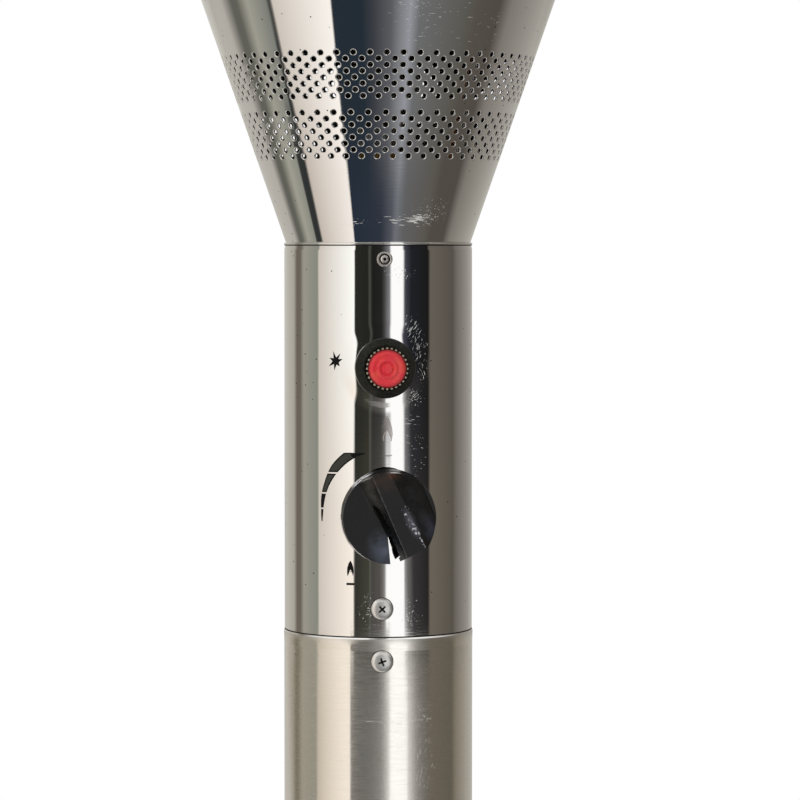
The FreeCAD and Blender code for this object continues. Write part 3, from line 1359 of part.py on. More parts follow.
def wing(side, x, y, low):
    """One leaning wing."""
    half = WING_SPAN / 2
    points = [(3.5, 0.5), (half - 4, 2), (half, WING_HEIGHT), (half - 5, WING_HEIGHT), (4.5, WING_NUT_HEIGHT)]
    face = closed([V(x + side * r, y - WING_THICKNESS / 2, low + z) for r, z in points])
    return outward(face.extrude(V(0, WING_THICKNESS, 0)))


PIECES = {
    "base_pan": base_pan,
    "base_ballast": base_ballast,
    "leg_rear": lambda: leg(THREE_FROM_REAR[0]),
    "leg_left": lambda: leg(THREE_FROM_REAR[1]),
    "leg_right": lambda: leg(THREE_FROM_REAR[2]),
    "leg_foot_bolts": leg_foot_bolts,
    "leg_tab_bolts": leg_tab_bolts,
    "wheel_bracket": wheel_bracket,
    "wheel_bracket_bolts": wheel_bracket_bolts,
    "wheel_axle": wheel_axle,
    "axle_caps": axle_caps,
    "wheel_hub_left": lambda: wheel_hub(-1),
    "wheel_hub_right": lambda: wheel_hub(1),
    "wheel_tyre_left": lambda: wheel_tyre(-1),
    "wheel_tyre_right": lambda: wheel_tyre(1),
    "post_socket": post_socket,
    "post_tube": post_tube,
    "post_screws": post_screws,
    "joining_sleeve": joining_sleeve,
    "housing_shell": housing_shell,
    "housing_lid": housing_lid,
    "housing_bush": housing_bush,
    "housing_rivets": housing_rivets,
    "neck_shell": neck_shell,
    "neck_screws": neck_screws,
    "cone_rivets": cone_rivets,
    "cone_shell": cone_shell,
    "valve_bracket": valve_bracket,
    "valve_screws": valve_screws,
    "valve_bonnet": valve_bonnet,
    "valve_body": valve_body,
    "valve_plug": valve_plug,
    "valve_stem": valve_stem,
    "stem_spring": stem_spring,
    "control_knob": control_knob,
    "gas_inlet_fitting": gas_inlet_fitting,
    "tilt_switch": tilt_switch,
    "igniter_body": igniter_body,
    "igniter_nut": igniter_nut,
    "igniter_cap_ring": igniter_cap_ring,
    "igniter_button": igniter_button,
    "igniter_spring": igniter_spring,
    "igniter_lead": igniter_lead,
    "gas_riser": gas_riser,
    "gas_injector": gas_injector,
    "burner_tube": burner_tube,
    "burner_plate": burner_plate,
    "burner_head": burner_head,
    "pilot_bracket": pilot_bracket,
    "pilot_burner": pilot_burner,
    "pilot_tube": pilot_tube,
    "thermocouple": thermocouple,
    "spark_electrode": spark_electrode,
    "emitter_screen": emitter_screen,
    "emitter_screws": emitter_screws,
    "emitter_cap": emitter_cap,
    "reflector_studs": reflector_studs,
    "stud_spacers": stud_spacers,
    "reflector": reflector,
    "wing_nuts": wing_nuts,
}

for name, make in PIECES.items():
    make().exportStep("parts/" + name + ".step")
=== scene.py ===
"""The looks of a full-size gas patio heater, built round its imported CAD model."""

import json
import math

import bmesh
import bpy
from mathutils import Matrix, Vector


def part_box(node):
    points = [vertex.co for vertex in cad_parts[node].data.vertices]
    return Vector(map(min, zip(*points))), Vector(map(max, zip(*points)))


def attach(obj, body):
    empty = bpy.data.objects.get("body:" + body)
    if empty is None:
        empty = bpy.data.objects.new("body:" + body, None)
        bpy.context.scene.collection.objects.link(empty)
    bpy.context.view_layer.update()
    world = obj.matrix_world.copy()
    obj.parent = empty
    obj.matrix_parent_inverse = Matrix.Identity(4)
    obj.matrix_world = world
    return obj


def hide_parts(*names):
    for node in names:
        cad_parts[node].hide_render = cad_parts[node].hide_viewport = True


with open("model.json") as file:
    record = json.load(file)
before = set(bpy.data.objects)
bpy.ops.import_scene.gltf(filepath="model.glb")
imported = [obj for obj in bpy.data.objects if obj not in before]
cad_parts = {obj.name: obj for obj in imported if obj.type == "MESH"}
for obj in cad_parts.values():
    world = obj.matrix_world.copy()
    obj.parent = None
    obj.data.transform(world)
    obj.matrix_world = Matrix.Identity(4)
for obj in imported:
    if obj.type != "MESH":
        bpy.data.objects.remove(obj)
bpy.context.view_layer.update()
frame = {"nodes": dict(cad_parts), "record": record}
MM = 0.001

# Places taken from the CAD model
NECK_LOW, NECK_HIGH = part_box("neck_shell")
POST_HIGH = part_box("post_tube")[1]
CONE_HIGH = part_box("cone_shell")[1]
SCREEN_LOW, SCREEN_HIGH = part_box("emitter_screen")
KNOB_LOW, KNOB_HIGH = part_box("control_knob")
BEZEL_LOW, BEZEL_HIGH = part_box("igniter_body")
BUTTON_LOW, BUTTON_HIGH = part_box("igniter_button")
IGNITER_Z = (BUTTON_LOW.z + BUTTON_HIGH.z) / 2
KNOB_Z = (KNOB_LOW.z + KNOB_HIGH.z) / 2
NECK_RADIUS = NECK_HIGH.x
NECK_TOP = NECK_HIGH.z
NECK_FOOT = NECK_LOW.z

# Camera, at eye height in front of the neck
CAMERA_DISTANCE = 1450 * MM
CAMERA_HEIGHT = 1755 * MM
CAMERA_AZIMUTH = math.radians(-5.25)
CAMERA_TURN = math.radians(0.35)
CAMERA_DIP = math.radians(2.555)
CAMERA_LENS = 160.65
CAMERA_SENSOR = 36

# The one lamp and the floor, in metres
LAMP_PLACE = (-1.2, -1.6, 3.6)
LAMP_AIM = (0, 0, 1.2)
LAMP_SIZE = 2.4
LAMP_WATTS = 60
FLOOR_REACH = 6.0

# Perforated cone
SHEET = 0.8 * MM
HOLE_BURR = 0.1 * MM
CONE_FOOT_RADIUS = 37.25 * MM
CONE_SPIGOT = 14 * MM
CONE_LIP = 0.6 * MM
CONE_BAND = 14 * MM
CONE_FOOT_ROOM = 0.9 * MM         # from the neck's outside to the spigot in it
CONE_FOOT_PROUD = 0.06 * MM
CONE_HOLE = (0.98 * MM, 0.5 * MM, 4)       # radius, rounding of the rim, corners on a quarter of the edge
CONE_HOLE_ROWS = 8
CONE_HOLES_TURN = math.radians(-2.1)
UPPER_HOLES = 60
LOWER_HOLES = 50
UPPER_ROWS = (57.7 * MM, 74.3 * MM)        # heights of the lowest and highest row above the neck
LOWER_ROWS = (34.5 * MM, 51.4 * MM)

# Perforated emitter
SCREEN_HOLE = (2.1 * MM, 0.2 * MM, 2)
SCREEN_COLUMNS = 84
SCREEN_ROWS = 26
SCREEN_FOOT_MARGIN = 24 * MM
SCREEN_TOP_MARGIN = 19 * MM

# Post's upper edge, a little raised and bright under a dark seam
POST_EDGE = 0.14 * MM
POST_RIM = 5 * MM
POST_SEAM = 0.25 * MM
POST_EDGE_TOP = 0.37 * MM
POST_EDGE_ROOT = 0.6 * MM
# How far the painted shade in the seams stands proud of the neck
SEAM_SHADE = 0.03 * MM

# Control knob, measured across (to the right of) its grip bar, along it and out from its rear
KNOB_LEAN = math.radians(25)
KNOB_RADIUS = 18.9 * MM
KNOB_FACE_RADIUS = 18.4 * MM
KNOB_SAG = 0.4 * MM          # the knob hangs a little low in its play
KNOB_SKIRT = 6.5 * MM
KNOB_HEIGHT = 16.5 * MM
KNOB_HOLLOW = 3.5 * MM
KNOB_WALL = 2.0 * MM
KNOB_HUB = 6.5 * MM
# The bar's foot, top left, top right and foot again, at the knob's upper and lower end
GRIP_UPPER_END = (-5.4 * MM, 0.1 * MM, 6.8 * MM, 17.8 * MM)
GRIP_LOWER_END = (-3.4 * MM, -1.1 * MM, 7.5 * MM, 16.0 * MM)
# The flat at the bar's lower end, at the front and at the rear
GRIP_CUT = ([(-6, -16.6), (9, -15.5), (9, -25), (-6, -25)], [(-6, -18.6), (9, -17.5), (9, -25), (-6, -25)])
# The notch beside the bar, at the front and at the rear: it narrows inward, because the bar's wall leans
NOTCH_RECESS = ([(-4.0, 7.5), (-0.4, 2.0), (-1.0, -20.3), (-8.8, -20.3), (-4.0, -6.9)],
                [(-4.0, 7.5), (-2.4, 2.0), (-3.0, -20.3), (-8.8, -20.3), (-4.0, -6.9)])
NOTCH_OPENING = ([(-0.8, -6.9), (-1.0, -20.3), (-8.8, -20.3), (-4.0, -6.9)],
                 [(-3.2, -6.9), (-3.4, -20.3), (-8.8, -20.3), (-4.0, -6.9)])
NOTCH_FLOOR = 4.5 * MM

# Igniter, measured from the post's axis outward
IGNITER_TURN = math.radians(-1.2)
BEZEL_RADIUS = 11.98 * MM
BEZEL_RIM = 41.1 * MM
BEZEL_ROOT = 33 * MM           # inside the neck, before the neck's round wall is cut out of it
MOUTH_RADIUS = 8.5 * MM
BARREL_RADIUS = 9 * MM
BARREL_WALL = 0.8 * MM
BARREL_FRONT = 39 * MM
RING_RADIUS = 8.4 * MM
RING_BORE = 7.65 * MM
# Ring and button sit a little to the right in the bezel's mouth
IGNITER_SHIFT = Matrix.Translation((0.25 * MM, 0, 0))
RING_TEETH = 28
TOOTH_HEIGHT = 0.8 * MM
TOOTH_CIRCLE = 8.02 * MM
BUTTON_RADIUS = 7.58 * MM

# Screws and rivets
SCREW_HEAD = 4.3 * MM
SCREW_HEAD_HEIGHT = 2.4 * MM
SCREW_SHADOW = 4.55 * MM       # painted shadow round the head's foot
SCREW_SHANK = 2.4 * MM
SCREWS_TURN = math.radians(-3.0)
RIVETS_TURN = math.radians(-1.4)
RIVET_FLANGE = 3.15 * MM
RIVET_HEIGHT = 1.0 * MM
RIVET_BORE = 0.62 * MM
VALVE_SCREW_HEAD = 2.7 * MM
VALVE_SCREW_PROUD = 0.12 * MM
VALVE_SCREW_SHANK = 2 * MM
VALVE_SCREW_SEAT = 37.6 * MM
VALVE_SCREW_TIP = 24.2 * MM
VALVE_SCREW_OFFSET = 12.5 * MM

# Printed marks, as distances round the neck from its front line and heights in millimetres
INK = 0.03 * MM
INK_ROOT = 0.05 * MM
PRINT_STRIP = 0.8            # width of the flat strips that follow the round wall
PRINT_SHIFT = -0.83          # the print lies a little to the left of the knob's axis
STAR = (-20.14, 1707.3)
LOW_FLAME = (-13.8, 1621.8)
HIGH_FLAME = (1.0, 1675.2)
HIGH_FLAME_LINE = (1.0, 1669.9)
# The arc round the knob: degrees to the left of straight up, inner and outer radius
ARC = [(18, 25.3, 25.6), (22, 25.35, 26.23), (26, 25.4, 27.06), (34.3, 25.4, 29.43), (43, 25.35, 29.3),
       (49, 25.4, 29.2), (65, 25.7, 28.2), (74, 25.85, 27.9), (80, 25.85, 27.55), (87.4, 26.0, 27.05),
       (91, 26.1, 27.05), (99, 26.75, 27.0)]
ARC_GAPS = (16.2, 8.1, 1.9)  # heights above the knob's axis
ARC_GAP = 0.6
ARC_LINE = 0.55
ARC_TIP = -12.8              # the arc's fill ends here, because its two lines would cross in the thin tip


def linear(code):
    """An sRGB hex colour as linear RGBA."""
    parts = [int(code[i:i + 2], 16) / 255 for i in (0, 2, 4)]
    return [c / 12.92 if c <= 0.04045 else ((c + 0.055) / 1.055) ** 2.4 for c in parts] + [1.0]


def add(tree, kind, inputs=(), out=0, stops=None, **settings):
    """Adds a node and gives one of its outputs. Its inputs, by name or in order, are linked or set."""
    node = tree.nodes.new("ShaderNode" + kind)
    for name, value in settings.items():
        setattr(node, name, value)
    for socket, value in inputs.items() if isinstance(inputs, dict) else enumerate(inputs):
        if isinstance(value, bpy.types.NodeSocket):
            tree.links.new(value, node.inputs[socket])
        else:
            node.inputs[socket].default_value = value
    if stops:
        marks = node.color_ramp.elements
        while len(marks) < len(stops):
            marks.new(1.0)
        for mark, (place, colour) in zip(marks, stops):
            mark.position = place
            mark.color = linear(colour)
    return node.outputs[out] if node.outputs else None


# Settings and output of a node that mixes colours
OF_COLOURS = {"data_type": "RGBA", "out": "Result"}


# Studio

STUDIO_HEADING = 95.25     # turns the studio so that zero degrees is where the camera stands
STUDIO_LEVEL = 1.18        # makes up for what polished steel swallows
# Ceiling and ground: colour, and the angles above level between which they take over
CEILING_AND_GROUND = [("F4F3F0", 22, 50), ("B9B7B2", -52, -75)]

# Walls and panels round the heater: name, first and last degree to the right of the camera, and colours. The
# level ones show in the neck's upper part, the chest ones in its lower part, the waist and knee ones in the
# post, and the low ones, near the floor, in the cone, whose sheet faces down.
LEVEL_PANELS = [
    ("grey wall behind, left", -180, -127, "C8C6C0", "A9A59C"),
    ("dark doorway", -119, -111, "6A6259", "69655B"),
    ("grey wall, left", -104, -79, "9B978E", "868980"),
    ("warm window", -78, -29.4, "CDC4BB", "FFFFFB"),
    ("black flag", -28.6, -12.5, "282924", "232420"),
    ("light seam in the flag", -11, -9.5, "474842", "474842"),
    ("black flag, right half", -8, 4, "1D1D1C", "242424"),
    ("flag's soft edge", 8, 14.5, "464647", "828185"),
    ("strip light", 16, 30.5, "FFFFFF", "FFFFFF"),
    ("curtain's lit edge", 32.5, 35, "474851", "3A3B43"),
    ("dark curtain", 41, 64, "202228", "1A1A19"),
    ("brown wall, right", 66.5, 104, "655F58", "56514B"),
    ("grey wall behind, right", 112, 178, "6E6963", "B4B1AA"),
]
WAIST_PANELS = [
    ("grey wall behind, left", -180, -130, "BDB9B1", "968E81"),
    ("dark doorway", -122, -117, "6F6A5C", "6F6A5C"),
    ("grey wall, left", -107, -82, "9A9488", "88857B"),
    ("warm window", -79, -34.6, "BDB3A5", "F6ECE2"),
    ("grey flag", -33.6, -12, "5F5D59", "6A6967"),
    ("grey flag, right half", -8, 0, "706E6C", "7D7B79"),
    ("flag's bright edge", 5, 11.5, "888684", "B9B7B5"),
    ("strip light", 16, 34.7, "FFFFFF", "FFFFFF"),
    ("glow on the curtain", 37, 46, "D2D0CD", "8F8D89"),
    ("grey curtain", 51, 61, "7A7874", "66635C"),
    ("brown wall, right", 68, 102, "665F56", "5B554B"),
    ("grey wall behind, right", 110, 178, "7C7569", "BDBAB2"),
]
LOW_PANELS = [
    ("grey wall behind, left", -180, -129, "BAB8B1", "B0ABA4"),
    ("dark doorway", -117, -111, "60605A", "62625A"),
    ("grey wall, left", -101, -84, "9F9D93", "7C7F79"),
    ("black skirting", -82, -80.5, "3A3A38", "3A3A38"),
    ("warm window", -79, -34.6, "CDC5BC", "FCF6F1"),
    ("blue floor", -33.8, -12, "252D36", "242E37"),
    ("grey floor", -3, 10, "3C3F45", "5C5D62"),
    ("strip light's glow", 17, 24, "7E8085", "93969E"),
    ("grey floor, right", 31, 64, "6B6C6E", "5B5A55"),
    ("brown wall, right", 76, 93, "544F49", "504B45"),
    ("grey wall behind, right", 104, 178, "7D7973", "B7B4AD"),
]
FOOT_PANELS = [
    ("grey wall behind, left", -180, -129, "BAB8B1", "B0ABA4"),
    ("dark doorway", -119, -113, "60605A", "62625A"),
    ("grey wall, left", -102, -90, "A19F94", "8C8D84"),
    ("black skirting", -88.5, -80.5, "323535", "2F3231"),
    ("warm window", -78.5, -33.8, "C4BAB0", "F4EDE7"),
    ("blue floor", -33, 4, "252F3C", "2F3541"),
    ("blue floor, right", 10, 17, "41454F", "50535C"),
    ("strip light's glow", 23, 29, "6D7077", "66686C"),
    ("grey floor", 33, 62, "616163", "5B5853"),
    ("brown wall, right", 72, 93, "514C47", "4F4B46"),
    ("grey wall behind, right", 104, 178, "7B7871", "B7B4AD"),
]


def altered(panels, *changes):
    """The same panels with some of them changed."""
    new = {change[0]: change for change in changes}
    return [new.get(panel[0], panel) for panel in panels]


CHEST_PANELS = altered(
    LEVEL_PANELS,
    ("warm window", -78, -30.2, "CDC4BB", "FAF0E5"),
    ("black flag", -29.4, -12.5, "2F2F2B", "434239"),
    ("light seam in the flag", -11, -9.5, "545550", "545550"),
    ("black flag, right half", -8, 1, "464441", "54514E"),
    ("flag's soft edge", 5, 8, "686664", "8C8A88"),
    ("strip light", 10, 31.5, "FFFFFF", "FFFFFF"),
    ("curtain's lit edge", 33.5, 38, "A8A6A5", "646261"),
    ("dark curtain", 45, 64, "353335", "262423"),
    ("brown wall, right", 66.5, 104, "6B645B", "58534B"))
KNEE_PANELS = altered(
    WAIST_PANELS,
    ("grey flag, right half", -8, 0, "868584", "9A9998"),
    ("flag's bright edge", 4, 8, "A8A6A4", "BEBCBA"),
    ("strip light", 10.5, 36, "FFFFFF", "FFFFFF"),
    ("glow on the curtain", 38.5, 46, "D6D4D2", "A9A8A5"),
    ("grey curtain", 51, 61, "949391", "70706A"))
MIDDLE_PANELS = altered(LOW_PANELS, ("black skirting", -85.5, -80.5, "353838", "323534"))

# The rings of panels below the level ones, the angles above level between which each takes over from the
# one before, and whether these are as the cone shows them: its sides face less steeply down than its front
RINGS = [
    (CHEST_PANELS, -1, -5.5, False),
    (WAIST_PANELS, -6.36, -6.5, False),
    (KNEE_PANELS, -8, -12.5, False),
    (LOW_PANELS, -17, -30, True),
    (MIDDLE_PANELS, -34.6, -36.4, True),
    (FOOT_PANELS, -36.4, -38.2, True),
]


def panel_stops(panels):
    """Two ramp stops for each panel."""
    return [((angle + 180) / 360, colour) for name, first, last, near, far in panels
            for angle, colour in ((first, near), (last, far))]


def studio():
    """White for the camera, and panels round the object for its reflections and light."""
    world = bpy.data.worlds.new("studio")
    bpy.context.scene.world = world
    world.use_nodes = True
    tree = world.node_tree
    tree.nodes.clear()
    way = add(tree, "TexCoord", out="Generated")
    turned = add(tree, "Mapping", {"Vector": way, "Rotation": (0, 0, math.radians(STUDIO_HEADING))})
    around = add(tree, "TexGradient", [turned], out="Fac", gradient_type="RADIAL")
    height = add(tree, "SeparateXYZ", [way], out="Z")
    half_way = add(tree, "Math", [around, math.pi], operation="MULTIPLY")
    front = add(tree, "Math", [half_way], operation="SINE")
    cone_height = add(tree, "Math", [height, front], operation="DIVIDE")

    def blend(colour, other, by, first, last):
        """Goes over to another colour between two angles above level."""
        share = add(tree, "MapRange", [by, math.sin(math.radians(first)), math.sin(math.radians(last))],
                    interpolation_type="SMOOTHSTEP")
        return add(tree, "Mix", {"Factor": share, "A": colour, "B": other}, **OF_COLOURS)

    walls = add(tree, "ValToRGB", [around], stops=panel_stops(LEVEL_PANELS))
    for panels, first, last, on_cone in RINGS:
        ring = add(tree, "ValToRGB", [around], stops=panel_stops(panels))
        walls = blend(walls, ring, cone_height if on_cone else height, first, last)
    for colour, first, last in CEILING_AND_GROUND:
        walls = blend(walls, linear(colour), height, first, last)
    room = add(tree, "Background", {"Color": walls, "Strength": STUDIO_LEVEL})
    white = add(tree, "Background", {"Color": (1, 1, 1, 1), "Strength": 1.0})
    seen = add(tree, "LightPath", out="Is Camera Ray")
    add(tree, "OutputWorld", [add(tree, "MixShader", [seen, room, white])])


def overhead_lamp():
    """A soft area lamp that lights paint and plastic, and that polished metal doesn't show."""
    data = bpy.data.lights.new("overhead_lamp", "AREA")
    data.shape = "DISK"
    data.size = LAMP_SIZE
    data.energy = LAMP_WATTS
    light = bpy.data.objects.new("overhead_lamp", data)
    light.location = LAMP_PLACE
    light.rotation_euler = (Vector(LAMP_AIM) - Vector(LAMP_PLACE)).to_track_quat("-Z", "Y").to_euler()
    light.visible_glossy = False
    bpy.context.collection.objects.link(light)


def camera():
    """The camera, a little to the left of the heater's front and level with the neck's top."""
    data = bpy.data.cameras.new("camera")
    data.lens = CAMERA_LENS
    data.sensor_width = CAMERA_SENSOR
    eye = bpy.data.objects.new("camera", data)
    eye.location = (CAMERA_DISTANCE * math.sin(CAMERA_AZIMUTH), -CAMERA_DISTANCE * math.cos(CAMERA_AZIMUTH),
                    CAMERA_HEIGHT)
    eye.rotation_euler = (math.pi / 2 - CAMERA_DIP, 0, CAMERA_AZIMUTH - CAMERA_TURN)
    bpy.context.collection.objects.link(eye)
    bpy.context.scene.camera = eye


def floor():
    """A plain pale floor that keeps the shadow; polished metal reflects the studio instead."""
    mesh = bpy.data.meshes.new("floor")
    reach = FLOOR_REACH
    mesh.from_pydata([(-reach, -reach, 0), (reach, -reach, 0), (reach, reach, 0), (-reach, reach, 0)], [],
                     [(0, 1, 2, 3)])
    plane = bpy.data.objects.new("floor", mesh)
    bpy.context.collection.objects.link(plane)
    plane.visible_glossy = False
    mesh.materials.append(start("matt_studio_floor", "F2F1EF", 0.9)[0])


# Materials

def start(name, colour, roughness, metallic=0.0, **sockets):
    """A material with its even values on the shader's own sockets."""
    made = bpy.data.materials.new(name)
    made.use_nodes = True
    shader = made.node_tree.nodes["Principled BSDF"]
    shader.inputs["Base Color"].default_value = linear(colour)
    shader.inputs["Roughness"].default_value = roughness
    shader.inputs["Metallic"].default_value = metallic
    for socket, value in sockets.items():
        shader.inputs[socket.replace("_", " ")].default_value = value
    return made, made.node_tree, shader


def painted(made, shader, **sockets):
    """The material with patterns linked to its shader."""
    for socket, value in sockets.items():
        made.node_tree.links.new(value, shader.inputs[socket.replace("_", " ")])
    return made


def metal(name, colour, roughness, grain_mm, depth_mm, spread):
    """Metal whose roughness varies a little from place to place, over a fine bump of the given grain."""
    made, tree, shader = start(name, colour, roughness, 1.0)
    grain = clouds(tree, add(tree, "TexCoord", out="Object"), grain_mm, 4.0)
    tone = add(tree, "MapRange", {
        "Value": grain, "To Min": max(roughness - spread, 0.02), "To Max": roughness + spread})
    bump = add(tree, "Bump", {"Height": grain, "Distance": depth_mm * MM, "Strength": 0.5})
    return painted(made, shader, Roughness=tone, Normal=bump)


def plastic(name, colour, roughness, grain_mm, depth_mm, shine=0.5):
    """Moulded plastic, paint, rubber or dirt with a fine grain."""
    made, tree, shader = start(name, colour, roughness, Specular_IOR_Level=shine)
    grain = clouds(tree, add(tree, "TexCoord", out="Object"), grain_mm, 3.0)
    return painted(made, shader, Normal=add(tree, "Bump", {
        "Height": grain, "Distance": depth_mm * MM, "Strength": 0.4}))


# Patterns that the materials share

def clouds(tree, place, grain, detail=2.0):
    """Cloudy noise whose patches have a size in millimetres, the same all ways or one for each axis."""
    sizes = grain if isinstance(grain, tuple) else (grain, grain, grain)
    scaled = add(tree, "Mapping", {"Vector": place, "Scale": [1 / (size * MM) for size in sizes]})
    return add(tree, "TexNoise", {"Vector": scaled, "Scale": 1.0, "Detail": detail})


def near(tree, place, middle, reach):
    """One at a place in millimetres, falling to zero at its reach along each axis."""
    away = add(tree, "VectorMath", [place, [c * MM for c in middle]], operation="SUBTRACT")
    shape = add(tree, "VectorMath", [away, [1 / (r * MM) for r in reach]], operation="MULTIPLY")
    far = add(tree, "VectorMath", [shape], out="Value", operation="LENGTH")
    return add(tree, "MapRange", [far, 1.0, 0.0])


def from_axis(tree, place):
    """How far a place is from the piece's own axis."""
    flat = add(tree, "VectorMath", [place, (1, 1, 0)], operation="MULTIPLY")
    return add(tree, "VectorMath", [flat], out="Value", operation="LENGTH")


def highest(tree, masks):
    """The highest of several masks at each place."""
    most = 0.0
    for mask in masks:
        most = add(tree, "Math", [most, mask], operation="MAXIMUM")
    return most


def scratches(tree, place, middle, reach, lean, length, amount):
    """A mask of hair-fine scratches round a place, leaning by an angle in the plane that faces the front."""
    turned = add(tree, "Mapping", {"Vector": place, "Rotation": (0, math.radians(lean), 0)})
    lines = clouds(tree, turned, (length, 30, SCRATCH_WIDTH))
    close = near(tree, place, middle, reach)
    dense = add(tree, "Math", [close, amount, lines], operation="MULTIPLY_ADD")
    kept = add(tree, "MapRange", [dense, 0.7, 0.74])
    return add(tree, "Math", [kept, add(tree, "MapRange", [close, 0.0, 0.1])], operation="MULTIPLY")


def pits(tree, place, spacing, size, share):
    """A mask of small round pits, one to a cell, of which only a share is kept."""
    cells = add(tree, "TexVoronoi", {"Vector": place, "Scale": 1 / (spacing * MM)}).node.outputs
    small = add(tree, "Math", [cells["Distance"], size / spacing], operation="LESS_THAN")
    chance = add(tree, "SeparateColor", [cells["Color"]], out="Red")
    chosen = add(tree, "Math", [chance, share], operation="LESS_THAN")
    return add(tree, "Math", [small, chosen], operation="MULTIPLY")


# Scratches on the polished and the brushed sheet: middle, reach, lean in degrees, length of one, how many.
# They are drawn a few times as wide as real ones, because finer ones don't show.
SCRATCH_WIDTH = 0.32
POLISHED_WEAR = [
    ((9, -38, 1763), (17, 14, 3.5), -4, 4, 0.16),
    ((11, -38, 1764), (9, 14, 2), -2, 3, 0.26),
    ((20, -42, 1766), (12, 14, 7), 30, 0.8, 0.12),
    ((-14, -38, 1762), (14, 14, 2.5), 0, 3, 0.14),
    ((10, -37, 1720), (5, 9, 7), 55, 3, 0.16),
    ((13, -36, 1712), (4.5, 9, 8), 75, 2.5, 0.14),
    ((14.5, -36, 1703), (3, 9, 6), -70, 1.6, 0.14),
    ((11, -37, 1693), (4.5, 9, 5), 35, 1.2, 0.16),
    ((9, -37, 1684), (5, 9, 4), 0, 3, 0.1),
    ((5, -38, 1742), (7, 9, 5), 55, 1, 0.1),
    ((10, -37, 1672), (7, 9, 12), -30, 1.5, 0.03),
    ((-6, -38, 1608), (6, 9, 8), 60, 0.8, 0.1),
    ((9, -37, 1606), (6, 9, 8), 50, 1.2, 0.1),
    ((24, -67, 1838), (30, 30, 12), 0, 4, 0.03),
    ((8, -64, 1848), (9, 30, 10), 5, 1.5, 0.07),
]
BRUSHED_WEAR = [
    ((6, -38, 1564), (22, 14, 1.5), 0, 5, 0.16),
    ((14, -36, 1566), (6, 14, 8), -60, 1.2, 0.1),
    ((14, -36, 1545), (7, 14, 20), 80, 3, 0.1),
    ((4, -38, 1556), (8, 14, 14), -55, 1, 0.09),
]


def polished_steel():
    """Near-mirror sheet: its reflections fray in short polishing strokes, and it has pits and scratches."""
    made, tree, shader = start("polished_stainless_steel", "EBEAE8", 0.03, 1.0)
    place = add(tree, "TexCoord", out="Object")
    # The sheet stands up a little round the igniter, and has slow waves under its level polishing strokes
    lip = add(tree, "MapRange", [near(tree, place, (-0.8, -38, IGNITER_Z / MM), (19, 60, 19)), 0.0, 0.45],
              interpolation_type="SMOOTHERSTEP")
    normal = add(tree, "Bump", {"Height": lip, "Distance": 0.17 * MM, "Strength": 1.0})
    for height, depth in ((clouds(tree, place, 35, 1.0), 0.05), (clouds(tree, place, (5, 5, 0.6)), 0.002)):
        normal = add(tree, "Bump", {
            "Height": height, "Distance": depth * MM, "Strength": 1.0, "Normal": normal})
    marked = highest(tree, [scratches(tree, place, *wear) for wear in POLISHED_WEAR])
    # Most of the pits are at the neck's and the cone's sides
    across = add(tree, "SeparateXYZ", [place], out="X")
    aside = add(tree, "Math", [across], operation="ABSOLUTE")
    pit = pits(tree, place, 3.6, 0.3, add(tree, "MapRange", [aside, 23 * MM, 27 * MM, 0.08, 0.5]))
    return painted(
        made, shader,
        Base_Color=add(tree, "Mix", {"Factor": pit, "A": linear("EBEAE8"), "B": linear("3E362F")},
                       **OF_COLOURS),
        Roughness=add(tree, "MapRange", [highest(tree, [marked, pit]), 0, 1, 0.035, 0.5]),
        Metallic=add(tree, "MapRange", [marked, 0, 1, 1.0, 0.2]), Normal=normal)


def satin_steel():
    """Fine-brushed post: a soft mirror with level strokes, scratches, and a duller edge below the seam."""
    made, tree, shader = start("fine_brushed_stainless_steel", "F3F0EA", 0.09, 1.0)
    place = add(tree, "TexCoord", out="Object")
    slow = add(tree, "Bump", {"Height": clouds(tree, place, 30, 1.0), "Distance": 0.05 * MM, "Strength": 1.0})
    fine = add(tree, "Bump", {"Height": clouds(tree, place, (9, 9, 0.22)), "Distance": 0.003 * MM,
                              "Strength": 1.0, "Normal": slow})
    pit = pits(tree, place, 7, 0.28, 0.25)
    marked = highest(tree, [scratches(tree, place, *wear) for wear in BRUSHED_WEAR])
    # A tenth of it is dull, in level strokes, on a scale too small to see
    strokes = add(tree, "Math", [clouds(tree, place, (7, 7, 0.5), 3.0), 0.3, clouds(tree, place, 0.05, 0.0)],
                  operation="MULTIPLY_ADD")
    edge = add(tree, "MapRange", [add(tree, "SeparateXYZ", [place], out="Z"), NECK_FOOT - 3.5 * MM, NECK_FOOT,
                                  0.0, 0.4])
    damage = add(tree, "Math", [highest(tree, [marked, pit]), 0.5], operation="MULTIPLY")
    return painted(
        made, shader,
        Base_Color=add(tree, "Mix", {"Factor": pit, "A": linear("F3F0EA"), "B": linear("5A5048")},
                       **OF_COLOURS),
        Roughness=highest(tree, [
            add(tree, "MapRange", [strokes, 0.73, 0.77, 0.05, 0.32]), damage, edge,
            add(tree, "MapRange", [clouds(tree, place, (16, 16, 9), 3.0), 0.3, 0.7, 0.04, 0.08])]),
        Metallic=add(tree, "MapRange", [marked, 0, 1, 1.0, 0.4]), Normal=fine)
